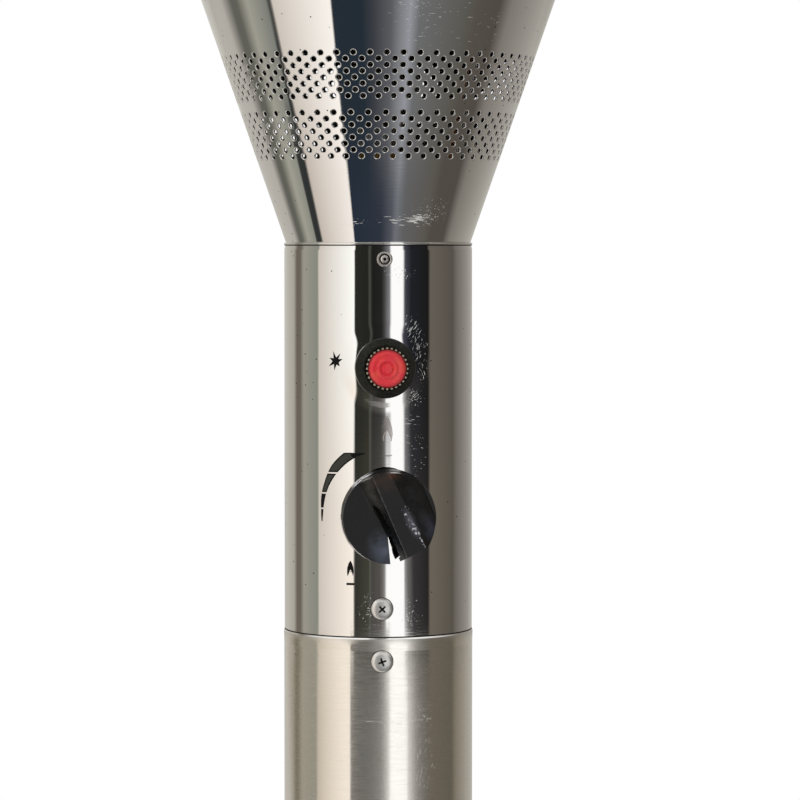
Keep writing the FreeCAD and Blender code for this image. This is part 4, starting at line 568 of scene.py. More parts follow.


# The knob's tints, in its own millimetres: patches with their middle, reach and colour, some of them painted
# sheen and glow, and the middle and reach of painted highlights on its rim
KNOB_PATCHES = [
    ((-7, -11, 6.5), (8, 10, 9), "4C5362"),         # blue-grey painted sheen on the lower face, a painted reflection of the blue floor
    ((12, -10, 9), (5, 7, 9), "3A3D50"),
    ((3, 15, 16), (15, 7, 14), "33261D"),           # brown film round the bar's upper end
    # painted warm glow at the top, where the strip light's reflection passes
    ((10, 16, 12), (6, 3.5, 9), "6E4A36"),
    ((-2.6, 10, 11), (4, 16, 9), "4A4947"),         # grey dust on the bar's wall and beside it
    ((11, 2, 12), (6, 20, 9), "2C2C2F"),
    ((6.3, -5, 15), (2.4, 8, 7), "5A5A66"),         # lighter blue-grey patch under the rubbed edge
]
KNOB_RIM_HIGHLIGHTS = [
    ((-17, -3, 0), (7, 17, 3.2)),
    ((-16.9, -8.6, 3), (4, 8, 5.5)),
    ((-3.8, 18, 3), (6, 3, 5.5)),
    ((4.5, -17.8, 11), (4, 1.2, 9)),
]


def knob_plastic():
    """Handled black phenolic: matt sides, painted blue-grey sheen and warm glow, painted rim highlights,
    rubbed edges.
    """
    made, tree, shader = start("handled_black_phenolic", "141416", 0.26, Specular_IOR_Level=0.32)
    place = add(tree, "TexCoord", out="Object")
    across, along, out = add(tree, "SeparateXYZ", [place]).node.outputs
    facing = add(tree, "SeparateXYZ", [add(tree, "TexCoord", out="Normal")], out="X")
    cloud = clouds(tree, place, 7, 5.0)
    colour = linear("161617")
    for middle, reach, tint in KNOB_PATCHES:
        cloudy = add(tree, "MapRange", [cloud, 0.33, 0.62])
        patch = add(tree, "Math", [near(tree, place, middle, reach), cloudy], operation="MULTIPLY")
        colour = add(tree, "Mix", {"Factor": patch, "A": colour, "B": linear(tint)}, **OF_COLOURS)

    def within(value, first, last):
        """A mask that rises from zero to one between two measures in millimetres."""
        return add(tree, "MapRange", [value, first * MM, last * MM])

    def bar_line(slope, offset):
        """Where a line along the bar lies across it; offset is in millimetres."""
        return add(tree, "Math", [along, slope, offset * MM], operation="MULTIPLY_ADD")

    def pale_line(line, width, grain, strength, *bounds):
        """A pale line along the bar's top, within bounds: wear on the bar's right edge, a painted highlight
        along its left edge.
        """
        aside = add(tree, "Math", [across, line], operation="SUBTRACT")
        line_mask = within(add(tree, "Math", [aside], operation="ABSOLUTE"), width, 0.0)
        for bound in (within(out, 15, 16.3),) + bounds:
            line_mask = add(tree, "Math", [line_mask, bound], operation="MULTIPLY")
        broken_line = add(tree, "Math", [line_mask, strength, clouds(tree, place, grain, 3.0)], operation="MULTIPLY_ADD")
        return add(tree, "Math", [add(tree, "MapRange", [broken_line, 0.68, 0.76, 0.0, 0.75]),
                                  add(tree, "MapRange", [line_mask, 0.0, 0.2])], operation="MULTIPLY")

    # Painted highlights on the rim's side and on the bar's lower end, broken into patches
    skirt = highest(tree, [within(out, 6.5, 6.2), within(out, 9.5, 10)])
    rim = highest(tree, [near(tree, place, *wear) for wear in KNOB_RIM_HIGHLIGHTS])
    rim = add(tree, "MapRange", [add(tree, "Math", [rim, skirt], operation="MULTIPLY"), 0.0, 0.3])
    patchy = add(tree, "MapRange", [clouds(tree, place, 2.5), 0.35, 0.55])
    # Pale marks: chips of wear on the bar's right edge, a painted highlight line on its left edge and painted
    # highlights on the rim
    worn = highest(tree, [
        pale_line(bar_line(-0.0185, 6.2), 2.4, 0.9, 0.13, within(along, 4, -1), within(along, -12, -6)),
        pale_line(bar_line(-0.0185, 6.9), 0.9, 0.8, 0.17, within(along, -2, -7)),
        # painted highlight: a thin light line along the bar's left edge
        add(tree, "Math", [pale_line(bar_line(0.0317, -0.5), 0.3, 2.5, 0.5), 0.09], operation="MULTIPLY"),
        near(tree, place, (6.2, -8.9, 16), (0.65, 0.75, 5)),
        # painted highlights on the rim, broken into patches
        add(tree, "Math", [rim, patchy], operation="MULTIPLY"),
    ])
    # Sides and the bar's left wall never were polished
    side = highest(tree, [within(out, 6.3, 6.1), add(tree, "MapRange", [facing, -0.8, -0.95])])
    return painted(
        made, shader,
        Base_Color=add(tree, "Mix", {"Factor": worn, "A": colour, "B": linear("D6D5DC")}, **OF_COLOURS),
        Specular_IOR_Level=add(tree, "MapRange", [side, 0, 1, 0.32, 0.04]),
        Roughness=add(tree, "MapRange", [cloud, 0.3, 0.7, 0.2, 0.36]))


def button_plastic():
    """Red moulded button, a little faded in soft patches, with painted shade darkening its edge."""
    made, tree, shader = start("faded_red_moulding", "D2323C", 0.33)
    place = add(tree, "TexCoord", out="Object")
    patchy = add(tree, "MapRange", [clouds(tree, place, 5, 3.0), 0.45, 0.7])
    faded = add(tree, "Mix", {"Factor": patchy, "A": linear("D82F3B"), "B": linear("DC4C42")}, **OF_COLOURS)
    # Painted shade: the button's rounded edge darkens to dark red
    edge = add(tree, "MapRange", [from_axis(tree, place), 6.6 * MM, 7.5 * MM])
    return painted(
        made, shader,
        Base_Color=add(tree, "Mix", {"Factor": edge, "A": faded, "B": linear("7E1A20")}, **OF_COLOURS),
        Normal=add(tree, "Bump", {"Height": clouds(tree, place, 0.5, 3.0), "Distance": 0.015 * MM,
                                  "Strength": 0.5}))


def bezel_plastic():
    """Dull greenish black moulding whose outer rim is rubbed bright."""
    made, tree, shader = start("worn_black_moulding", "20221E", 0.6, Specular_IOR_Level=0.2)
    place = add(tree, "TexCoord", out="Object")
    grain = clouds(tree, place, 1.1, 4.0)
    mottled = add(tree, "MapRange", [grain, 0.3, 0.7])
    return painted(
        made, shader,
        Base_Color=add(tree, "Mix", {"Factor": mottled, "A": linear("0B0D0A"), "B": linear("24251F")},
                       **OF_COLOURS),
        Roughness=add(tree, "MapRange", [from_axis(tree, place), BEZEL_RADIUS - 0.5 * MM,
                                         BEZEL_RADIUS - 0.2 * MM, 0.55, 0.3]),
        Normal=add(tree, "Bump", {"Height": grain, "Distance": 0.04 * MM, "Strength": 0.6}))


# What each slot of the CAD model is made of, and some finishes that only the scene needs
MATERIALS = {
    "polished_stainless": polished_steel(),
    "brushed_stainless": satin_steel(),
    # straw-brown bloom of steel that has glowed
    "emitter_stainless": metal("heat_tinted_stainless_steel", "A99A84", 0.3, 3, 0.02, 0.08),
    # pale, soft mirror of spun sheet
    "reflector_aluminium": metal("spun_aluminium", "E4E5E6", 0.22, 0.8, 0.01, 0.05),
    # dull grey of bright zinc
    "galvanised_steel": metal("zinc_plated_steel", "B9BCBF", 0.38, 4, 0.02, 0.1),
    "ballast_steel": plastic("black_painted_steel", "1C1C1C", 0.5, 1, 0.05),
    # soft pale sheen with no sharp reflections
    "fastener_steel": metal("plated_screw_steel", "FBF9F6", 0.42, 0.5, 0.02, 0.06),
    "rivet_aluminium": metal("rivet_aluminium", "DCD9D4", 0.3, 1, 0.01, 0.06),
    "brass": metal("machined_brass", "C9A85C", 0.25, 1, 0.01, 0.06),
    "black_plastic": knob_plastic(),
    "black_nylon": plastic("black_nylon", "1B1B1B", 0.5, 0.6, 0.02),
    "worn_black_plastic": bezel_plastic(),
    "red_plastic": button_plastic(),
    # matt, slightly grey black
    "tyre_rubber": plastic("black_tyre_rubber", "161616", 0.75, 0.8, 0.03),
    "ceramic": plastic("glazed_ceramic", "EEE9DC", 0.2, 2, 0.01),
    "lead_insulation": plastic("silicone_lead_insulation", "35312E", 0.5, 1, 0.01),
    "copper": metal("bare_copper", "D9946B", 0.25, 1, 0.01, 0.06),
    "spring_steel": metal("drawn_spring_steel", "8E8F91", 0.25, 1, 0.01, 0.06),
    "black_ink": plastic("baked_black_ink", "0E0E0E", 0.6, 0.4, 0.005, 0.15),
    "grey_ink": plastic("baked_grey_ink", "3C3C38", 0.7, 0.4, 0.005, 0.1),
    # rubbed so thin that the steel shows through it
    "worn_ink": metal("worn_thin_ink", "B8B2AE", 0.16, 1, 0.01, 0.05),
    "pale_ink": plastic("worn_pale_ink", "A8A59C", 0.5, 0.4, 0.005),
    # walls of the punched holes, painted dark as shade
    "hole_wall_shade": metal("shade_dark_punched_steel", "3A3733", 0.5, 1, 0.01, 0.08),
    # black painted shade in recesses, holes and seams
    "painted_shade": plastic("painted_black_shade", "16130F", 0.7, 0.3, 0.02, 0.2),
    # tips of the ring's teeth, rubbed to the bare moulding
    "rubbed_tips": plastic("rubbed_pale_moulding", "A39382", 0.6, 0.4, 0.02),
}


# Sheet metal with round holes

def zone_normal(x, y, tilt):
    """The outward direction of a turned sheet that leans down by tilt, at a place round the post."""
    reach = math.hypot(x, y)
    return Vector((x / reach * math.cos(tilt), y / reach * math.cos(tilt), -math.sin(tilt)))


class TurnedSheet:
    """Faces of a thin sheet turned round the post, with its true direction kept at every corner."""

    def __init__(self):
        self.index = {}
        self.points = []
        self.faces = []
        self.corners = []
        self.slots = []

    def point(self, turn, reach, height):
        """A corner at an angle, a radius and a height; the same place gives the same corner."""
        place = (reach * math.sin(turn), -reach * math.cos(turn), height)
        key = tuple(round(c * 1e7) for c in place)
        if key not in self.index:
            self.index[key] = len(self.points)
            self.points.append(place)
        return self.index[key]

    def face(self, ring, directions, slot=0):
        """A face with the direction of each of its corners."""
        if len(set(ring)) < len(ring):
            return
        self.faces.append(ring)
        self.corners.extend(directions)
        self.slots.append(slot)

    def build(self, name, *materials):
        """The finished mesh object, with one material for the skins and one for the walls of the holes."""
        mesh = bpy.data.meshes.new(name)
        mesh.from_pydata(self.points, [], self.faces)
        mesh.polygons.foreach_set("use_smooth", [True] * len(mesh.polygons))
        mesh.polygons.foreach_set("material_index", self.slots)
        mesh.normals_split_custom_set(self.corners)
        for material in materials:
            mesh.materials.append(material)
        made = bpy.data.objects.new(name, mesh)
        bpy.context.collection.objects.link(made)
        return made


def skin(sheet, outline, inward):
    """A function that gives a corner on the outer or inner skin of a straight stretch of the sheet."""
    (low_reach, low), (high_reach, high) = outline
    tilt = math.atan2(high_reach - low_reach, high - low)

    def corner(turn, along):
        """along is the height above the stretch's foot."""
        reach = low_reach + along * math.tan(tilt) - inward / math.cos(tilt)
        return sheet.point(turn, reach, low + along)
    return corner, tilt


def quad(sheet, ring, tilt, side):
    """A face on a skin; side is 1 for the outer one and -1 for the inner one."""
    ring = list(dict.fromkeys(ring))[::side]
    sheet.face(ring, [zone_normal(*sheet.points[i][:2], tilt) * side for i in ring])


def plain_ring(sheet, outline, low, high, low_count, high_count, turn=0.0):
    """A stretch without holes; where the counts differ, triangles join the two edges."""
    for side, inward in ((1, 0.0), (-1, SHEET)):
        corner, tilt = skin(sheet, outline, inward)
        i = j = 0
        while i < low_count or j < high_count:
            a = turn + 2 * math.pi * i / low_count
            b = turn + 2 * math.pi * j / high_count
            next_low = turn + 2 * math.pi * (i + 1) / low_count
            next_high = turn + 2 * math.pi * (j + 1) / high_count
            if low_count == high_count:
                quad(sheet, [corner(a, low), corner(next_low, low), corner(next_low, high), corner(a, high)],
                     tilt, side)
                i += 1
                j += 1
            elif j == high_count or (i < low_count and next_low <= next_high):
                quad(sheet, [corner(a, low), corner(next_low, low), corner(b, high)], tilt, side)
                i += 1
            else:
                quad(sheet, [corner(a, low), corner(next_high, high), corner(b, high)], tilt, side)
                j += 1


def hole_cell(sheet, outline, turn, along, width, height, hole):
    """One diamond of sheet round a hole: both skins, the hole's rounded rim and its wall."""
    radius, rim, quarter = hole
    count = 4 * quarter
    shares = [k / quarter for k in range(quarter)]
    diamond = ([(s, 1 - s) for s in shares] + [(1 - s, -s) for s in shares]
               + [(-s, s - 1) for s in shares] + [(s - 1, s) for s in shares])
    spins = [2 * math.pi * i / count for i in range(count)]
    (low_reach, low), (high_reach, high) = outline
    tilt = math.atan2(high_reach - low_reach, high - low)
    reach = low_reach + along * math.tan(tilt)
    out = zone_normal(math.sin(turn), -math.cos(turn), tilt)
    up = Vector((math.sin(turn) * math.sin(tilt), -math.cos(turn) * math.sin(tilt), math.cos(tilt)))
    side_way = Vector((math.cos(turn), math.sin(turn), 0))
    burr = HOLE_BURR
    # Radius, depth and lean of the wall, from the outer skin to the inner one
    steps = [(radius + rim, 0.0, 0), (radius + 0.29 * rim, 0.29 * rim, 45), (radius, rim, 90),
             (radius, SHEET - burr, 90), (radius + burr, SHEET, 180)]
    rings = []
    for size, depth, lean in steps:
        corner, _ = skin(sheet, outline, depth)
        places = [corner(turn + size * math.sin(a) / reach, along + size * math.cos(a) * math.cos(tilt))
                  for a in spins]
        ways = [out * math.cos(math.radians(lean))
                - (up * math.cos(a) + side_way * math.sin(a)) * math.sin(math.radians(lean)) for a in spins]
        rings.append((places, ways))
    for side, inward, (mouth, _) in ((1, 0.0, rings[0]), (-1, SHEET, rings[-1])):
        corner, _ = skin(sheet, outline, inward)
        outer = [corner(turn + x * width / 2, along + y * height) for x, y in diamond]
        for i in range(count):
            k = (i + 1) % count
            quad(sheet, [outer[i], mouth[i], mouth[k], outer[k]], tilt, side)
    for step, ((first, first_ways), (second, second_ways)) in enumerate(zip(rings, rings[1:])):
        for i in range(count):
            k = (i + 1) % count
            sheet.face([first[i], second[i], second[k], first[k]],
                       [first_ways[i], second_ways[i], second_ways[k], first_ways[k]], int(step > 1))


def zigzag(sheet, outline, width, count, turn, along, height, quarter):
    """Fills the notches between an end row's diamonds, up (with a negative height down) to a level edge."""
    for side, inward in ((1, 0.0), (-1, SHEET)):
        corner, tilt = skin(sheet, outline, inward)
        for i in range(count):
            for k in range(2 * quarter):
                ends = []
                for n in (k, k + 1):
                    here = turn + width * (i + n / (2 * quarter))
                    fall = 1 - abs(n - quarter) / quarter
                    ends.append((corner(here, along + height * (1 - fall)), corner(here, along + height)))
                (low_a, high_a), (low_b, high_b) = ends
                ring = [low_a, low_b, high_b, high_a]
                quad(sheet, ring if height > 0 else ring[::-1], tilt, side)


def holed_band(sheet, outline, first, last, rows, count, hole, turn=0.0):
    """Staggered rows of holes; gives the heights where the band begins and ends."""
    pitch = (last - first) / (rows - 1)
    width = 2 * math.pi / count
    starts = [turn + width * ((rows - 1 - row) % 2) / 2 for row in range(rows)]
    for row, start_at in enumerate(starts):
        for i in range(count):
            hole_cell(sheet, outline, start_at + width * i, first + pitch * row, width, pitch, hole)
    zigzag(sheet, outline, width, count, starts[0], first, -pitch, hole[2])
    zigzag(sheet, outline, width, count, starts[-1], last, pitch, hole[2])
    return first - pitch, last + pitch


def perforated_cone():
    """The polished cone's flare with its two bands of holes."""
    sheet = TurnedSheet()
    height = CONE_HIGH.z - CONE_BAND - NECK_TOP
    flare = ((CONE_FOOT_RADIUS, NECK_TOP), (CONE_HIGH.x, NECK_TOP + height))
    turn = CONE_HOLES_TURN
    upper, lower = (2 * CONE_HOLE[2] * holes for holes in (UPPER_HOLES, LOWER_HOLES))
    low_start, low_end = holed_band(sheet, flare, *LOWER_ROWS, CONE_HOLE_ROWS, LOWER_HOLES, CONE_HOLE, turn)
    high_start, high_end = holed_band(sheet, flare, *UPPER_ROWS, CONE_HOLE_ROWS, UPPER_HOLES, CONE_HOLE, turn)
    plain_ring(sheet, flare, 0.0, low_start, lower, lower, turn)
    plain_ring(sheet, flare, low_end, high_start, lower, upper, turn)
    plain_ring(sheet, flare, high_end, height, upper, upper, turn)
    return sheet.build("cone_flare", MATERIALS["polished_stainless"], MATERIALS["hole_wall_shade"])


def perforated_screen():
    """The emitter's cylinder, punched all over between the cone's band and the cap's rim."""
    sheet = TurnedSheet()
    height = SCREEN_HIGH.z - SCREEN_LOW.z
    wall = ((SCREEN_HIGH.x, SCREEN_LOW.z), (SCREEN_HIGH.x, SCREEN_HIGH.z))
    corners = 2 * SCREEN_HOLE[2] * SCREEN_COLUMNS
    first, last = SCREEN_FOOT_MARGIN, height - SCREEN_TOP_MARGIN
    start_at, end = holed_band(sheet, wall, first, last, SCREEN_ROWS, SCREEN_COLUMNS, SCREEN_HOLE)
    plain_ring(sheet, wall, 0.0, start_at, corners, corners)
    plain_ring(sheet, wall, end, height, corners, corners)
    return sheet.build("emitter_mesh", MATERIALS["emitter_stainless"], MATERIALS["hole_wall_shade"])


def sheet_metal():
    """Puts the cone and the emitter on the stand, with the cone's foot, the band at its top and painted shade
    in the seams.
    """
    polished = MATERIALS["polished_stainless"]
    top = CONE_HIGH.z - CONE_BAND
    spigot = NECK_RADIUS - CONE_FOOT_ROOM
    lip = NECK_RADIUS + CONE_FOOT_PROUD
    reach = CONE_HIGH.x
    post = POST_HIGH.x
    root = post - POST_EDGE_ROOT
    seam = NECK_FOOT - POST_SEAM
    cone = perforated_cone()
    screen = perforated_screen()
    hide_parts("cone_shell")
    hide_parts("emitter_screen")
    foot = turned_piece("cone_foot", [
        (spigot - SHEET, NECK_TOP - CONE_SPIGOT, 0.2 * MM), (spigot, NECK_TOP - CONE_SPIGOT, 0.2 * MM),
        (spigot, NECK_TOP - 0.35 * MM, 0), (lip, NECK_TOP - 0.35 * MM, 0.3 * MM),
        (lip, NECK_TOP + 0.45 * MM, 0.4 * MM), (CONE_FOOT_RADIUS + 0.2 * MM, NECK_TOP + CONE_LIP, 0),
        (spigot - SHEET, NECK_TOP + 0.2 * MM, 0),
    ], polished)
    band = turned_piece("cone_band", [
        (reach, top, 0), (reach, CONE_HIGH.z, 0.35 * MM), (reach - SHEET, CONE_HIGH.z, 0.35 * MM),
        (reach - SHEET, top, 0),
    ], polished)
    rim = turned_piece("post_rim", [
        (root, NECK_FOOT - POST_RIM, 0), (post + 0.01 * MM, NECK_FOOT - POST_RIM, 0),
        (post + POST_EDGE, seam, 0), (root, seam, 0),
    ], MATERIALS["brushed_stainless"])
    edge = turned_piece("post_edge", [
        (root, seam, 0), (post + POST_EDGE, seam, 0), (post - 0.22 * MM, NECK_FOOT + POST_EDGE_TOP, 0),
        (root, NECK_FOOT + POST_EDGE_TOP, 0),
    ], polished, smooth_below=20)
    # Thin dark rings of painted shade in the seams at the neck's foot and top
    shade_pieces = []
    for name, low, high in (("post_seam_shade", NECK_FOOT + 0.35 * MM, NECK_FOOT + 0.85 * MM),
                            ("cone_seam_shade", NECK_TOP - 0.6 * MM, NECK_TOP - 0.3 * MM)):
        shade_pieces.append(turned_piece(name, [
            (NECK_RADIUS - 0.2 * MM, low, 0), (NECK_RADIUS + SEAM_SHADE, low, 0),
            (NECK_RADIUS + SEAM_SHADE, high, 0), (NECK_RADIUS - 0.2 * MM, high, 0),
        ], MATERIALS["painted_shade"]))
    for slot, pieces in (("polished_stainless", (cone, foot, band, *shade_pieces)), ("emitter_stainless", (screen,)),
                         ("brushed_stainless", (rim, edge))):
        for made in pieces:
            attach(made, "stand")


# Solid helpers

def finish_mesh(name, mesh, material, smooth_below=35):
    """An object from a mesh, shaded smooth except at corners sharper than the given angle."""
    mesh.name = name
    mesh.shade_smooth()
    mesh.set_sharp_from_angle(angle=math.radians(smooth_below))
    mesh.materials.clear()
    mesh.materials.append(material)
    made = bpy.data.objects.new(name, mesh)
    bpy.context.collection.objects.link(made)
    return made


def closed_mesh(form, name):
    """A mesh from a finished form, with its faces turned outward."""
    bmesh.ops.recalc_face_normals(form, faces=form.faces)
    mesh = bpy.data.meshes.new(name)
    form.to_mesh(mesh)
    form.free()
    return mesh


def rounded(points, radius, steps=4):
    """An outline with its corners rounded; each corner has a radius of its own or takes the common one."""
    out = []
    count = len(points)
    for i, corner in enumerate(points):
        size = corner[2] if len(corner) > 2 else radius
        here = Vector(corner[:2])
        before = Vector(points[i - 1][:2]) - here
        after = Vector(points[(i + 1) % count][:2]) - here
        if size <= 0 or here.x == 0:
            out.append(tuple(here))
            continue
        half = before.angle(after) / 2
        reach = min(size / math.tan(half), 0.49 * before.length, 0.49 * after.length)
        first = here + before.normalized() * reach
        last = here + after.normalized() * reach
        for k in range(steps + 1):
            t = k / steps
            out.append(tuple(first * (1 - t) ** 2 + here * (2 * t * (1 - t)) + last * t ** 2))
    return out


def lathe(outline, segments=96):
    """A closed mesh turned about the Z axis from (radius, height) points that run round its section."""
    form = bmesh.new()
    rings = []
    for reach, height in outline:
        if reach <= 1e-9:
            rings.append([form.verts.new((0, 0, height))])
        else:
            rings.append([form.verts.new((reach * math.cos(2 * math.pi * k / segments),
                                          reach * math.sin(2 * math.pi * k / segments), height))
                          for k in range(segments)])
    for ring, following in zip(rings, rings[1:] + rings[:1]):
        if len(ring) == 1 and len(following) == 1:
            continue
        for k in range(segments):
            n = (k + 1) % segments
            if len(ring) == 1:
                form.faces.new((ring[0], following[n], following[k]))
            elif len(following) == 1:
                form.faces.new((ring[k], ring[n], following[0]))
            else:
                form.faces.new((ring[k], ring[n], following[n], following[k]))
    return closed_mesh(form, "turned")


def in_metres(points):
    """Points that are written in millimetres."""
    return [(x * MM, y * MM) for x, y in points]


def spanned(foot, head):
    """A closed mesh between two rings of as many points."""
    form = bmesh.new()
    foot, head = ([form.verts.new(place) for place in ring] for ring in (foot, head))
    form.faces.new(foot)
    form.faces.new(head)
    for i in range(len(foot)):
        k = (i + 1) % len(foot)
        form.faces.new((foot[i], foot[k], head[k], head[i]))
    return closed_mesh(form, "prism")


def prism(outline, low, high, low_outline=None):
    """A closed mesh from an outline in X and Y, between two heights; its foot can have another outline."""
    return spanned([(x, y, low) for x, y in low_outline or outline], [(x, y, high) for x, y in outline])


def combined(mesh, tool, operation):
    """The union, difference or intersection of two closed meshes."""
    one = bpy.data.objects.new("one", mesh)
    two = bpy.data.objects.new("two", tool)
    for made in (one, two):
        bpy.context.collection.objects.link(made)
    step = one.modifiers.new("cut", "BOOLEAN")
    step.object = two
    step.operation = operation
    step.solver = "EXACT"
    graph = bpy.context.evaluated_depsgraph_get()
    result = bpy.data.meshes.new_from_object(one.evaluated_get(graph))
    for made in (one, two):
        bpy.data.objects.remove(made)
    return result


def merged(name, meshes, material, smooth_below=35):
    """One object from several meshes, each given with its place as a matrix."""
    form = bmesh.new()
    for mesh, place in meshes:
        part = mesh.copy()
        part.transform(place)
        form.from_mesh(part)
        bpy.data.meshes.remove(part)
    mesh = bpy.data.meshes.new(name)
    form.to_mesh(mesh)
    form.free()
    return finish_mesh(name, mesh, material, smooth_below)


def turned_piece(name, outline, material, segments=192, smooth_below=35):
    """A piece turned about the post's axis, from (radius, height, corner rounding) points."""
    return finish_mesh(name, lathe(rounded(outline, 0, 5), segments), material, smooth_below)


def facing_out(turn, reach, height, spin=0.0):
    """The place of a piece whose Z axis points straight out from the post at an angle from the front."""
    out = Vector((math.sin(turn), -math.cos(turn), 0))
    side = Vector((math.cos(turn), math.sin(turn), 0))
    up = Vector((0, 0, 1))
    axes = Matrix((side, up, out)).transposed().to_4x4()
    return Matrix.Translation(out * reach + up * height) @ axes @ Matrix.Rotation(spin, 4, "Z")


def softened(made, width, steps=3, above=30):
    """Rounds the hard edges of a moulded or turned piece."""
    edge = made.modifiers.new("soft_edges", "BEVEL")
    edge.width = width
    edge.segments = steps
    edge.limit_method = "ANGLE"
    edge.angle_limit = math.radians(above)
    edge.harden_normals = True
    return made


# Control knob

def grip_end(along, foot_left, left, right, foot_right):
    """The corners of the grip bar at one of its ends."""
    low = KNOB_SKIRT - 1 * MM
    return [(x, along, z) for x, z in (
        (foot_left, low), (foot_right, low), (foot_right, KNOB_SKIRT), (right, KNOB_HEIGHT),
        (left, KNOB_HEIGHT), (foot_left, KNOB_SKIRT))]


def knob():
    """The black knob: a hollow tapered disc, a grip bar that widens downward, and a notch beside its foot."""
    section = [
        (0, 0), (KNOB_HUB, 0), (KNOB_HUB, KNOB_HOLLOW), (KNOB_RADIUS - KNOB_WALL, KNOB_HOLLOW),
        (KNOB_RADIUS - KNOB_WALL, 0), (KNOB_RADIUS, 0), (KNOB_FACE_RADIUS, KNOB_SKIRT), (0, KNOB_SKIRT),
    ]
    disc = lathe(section, 128)
    bar = spanned(grip_end(-KNOB_RADIUS, *GRIP_LOWER_END), grip_end(KNOB_RADIUS, *GRIP_UPPER_END))
    low, high = KNOB_SKIRT - 2 * MM, KNOB_HEIGHT + 1 * MM
    round_end = lathe([(0, low), (KNOB_FACE_RADIUS - 0.15 * MM, low), (KNOB_FACE_RADIUS - 0.45 * MM, high),
                       (0, high)], 128)
    bar = combined(bar, round_end, "INTERSECT")
    body = combined(disc, bar, "UNION")
    for (front, rear), foot in ((NOTCH_RECESS, NOTCH_FLOOR), (NOTCH_OPENING, -1 * MM), (GRIP_CUT, -1 * MM)):
        body = combined(body, prism(in_metres(front), foot, high, in_metres(rear)), "DIFFERENCE")
    made = finish_mesh("knob_body", body, MATERIALS["black_plastic"])
    softened(made, 0.2 * MM)
    made.matrix_world = facing_out(0, -KNOB_HIGH.y, KNOB_Z - KNOB_SAG, KNOB_LEAN)
    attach(made, "knob")
    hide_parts("control_knob")


# Igniter

def button():
    """The red button's crowned face with a middle disc and two low rings."""
    reach = BUTTON_RADIUS
    depth = BUTTON_HIGH.y - BUTTON_LOW.y
    face = [(r * MM, depth - drop * MM) for r, drop in (
        (0, 0.1), (1.4, 0.12), (1.9, 0.25), (2.2, 0.7), (2.5, 0.7), (2.9, 0.2), (3.3, 0.02), (3.8, 0.15),
        (4.3, 0.5), (5.1, 0.6), (5.4, 0.4), (5.9, 0.5), (6.6, 0.75), (7.2, 1.3))]
    sides = [(0, 0), (reach, 0, 0.3 * MM), (reach, depth - 2.1 * MM, 0.3 * MM)]
    outline = rounded(sides + face[::-1], 0.2 * MM, 3)
    made = finish_mesh("button_cap", lathe(outline, 96), MATERIALS["red_plastic"], 60)
    made.matrix_world = facing_out(IGNITER_TURN, -BUTTON_HIGH.y, IGNITER_Z) @ IGNITER_SHIFT
    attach(made, "igniter_push")
    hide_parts("igniter_button")


def bezel():
    """The black bezel that hugs the neck, with its barrel inside."""
    front = -BEZEL_LOW.y
    rear = -BEZEL_HIGH.y
    outline = rounded([
        (MOUTH_RADIUS, BEZEL_ROOT, 0), (BEZEL_RADIUS, BEZEL_ROOT, 0), (BEZEL_RADIUS, BEZEL_RIM, 0.9 * MM),
        (MOUTH_RADIUS + 0.8 * MM, front, 0.5 * MM), (MOUTH_RADIUS, front - 0.2 * MM, 0.3 * MM),
    ], 0, 5)
    hood = lathe(outline, 160)
    hood.transform(facing_out(0, 0, IGNITER_Z))
    low, high = IGNITER_Z - 20 * MM, IGNITER_Z + 20 * MM
    neck = lathe([(0, low), (NECK_RADIUS, low), (NECK_RADIUS, high), (0, high)], 256)
    hood = combined(hood, neck, "DIFFERENCE")
    hood.transform(facing_out(0, 0, IGNITER_Z).inverted())
    inside = lathe([(BARREL_RADIUS - BARREL_WALL, rear), (BARREL_RADIUS, rear), (BARREL_RADIUS, BARREL_FRONT),
                    (BARREL_RADIUS - BARREL_WALL, BARREL_FRONT)], 96)
    made = merged("bezel_and_barrel", [(hood, Matrix()), (inside, Matrix())], MATERIALS["worn_black_plastic"])
    made.matrix_world = facing_out(IGNITER_TURN, 0, IGNITER_Z)
    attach(made, "stand")
    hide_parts("igniter_body")


def toothed_ring():
    """The ring round the button, with a rubbed tip on each of its teeth."""
    low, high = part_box("igniter_cap_ring")
    front = -low.y
    outline = rounded([
        (RING_BORE, -high.y, 0), (RING_RADIUS, -high.y, 0), (RING_RADIUS, front - 0.9 * MM, 0.2 * MM),
        (RING_RADIUS - 0.35 * MM, front - 0.45 * MM, 0.2 * MM), (RING_BORE, front - 0.45 * MM, 0.15 * MM),
    ], 0, 4)
    body = lathe(outline, 112)
    tooth = prism(in_metres([(-0.36, -0.46), (0.36, -0.4), (0.36, 0.4), (-0.36, 0.46)]),
                  front - TOOTH_HEIGHT, front)
    places = [Matrix.Rotation(2 * math.pi * i / RING_TEETH, 4, "Z") @ Matrix.Translation((TOOTH_CIRCLE, 0, 0))
              for i in range(RING_TEETH)]
    ring = merged("ring_body", [(body, Matrix())], MATERIALS["worn_black_plastic"])
    tips = merged("ring_tips", [(tooth, place) for place in places], MATERIALS["rubbed_tips"])
    softened(tips, 0.22 * MM)
    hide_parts("igniter_cap_ring")
    for made in (ring, tips):
        made.matrix_world = facing_out(IGNITER_TURN, 0, IGNITER_Z) @ IGNITER_SHIFT
        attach(made, "stand")


# Screws and rivets

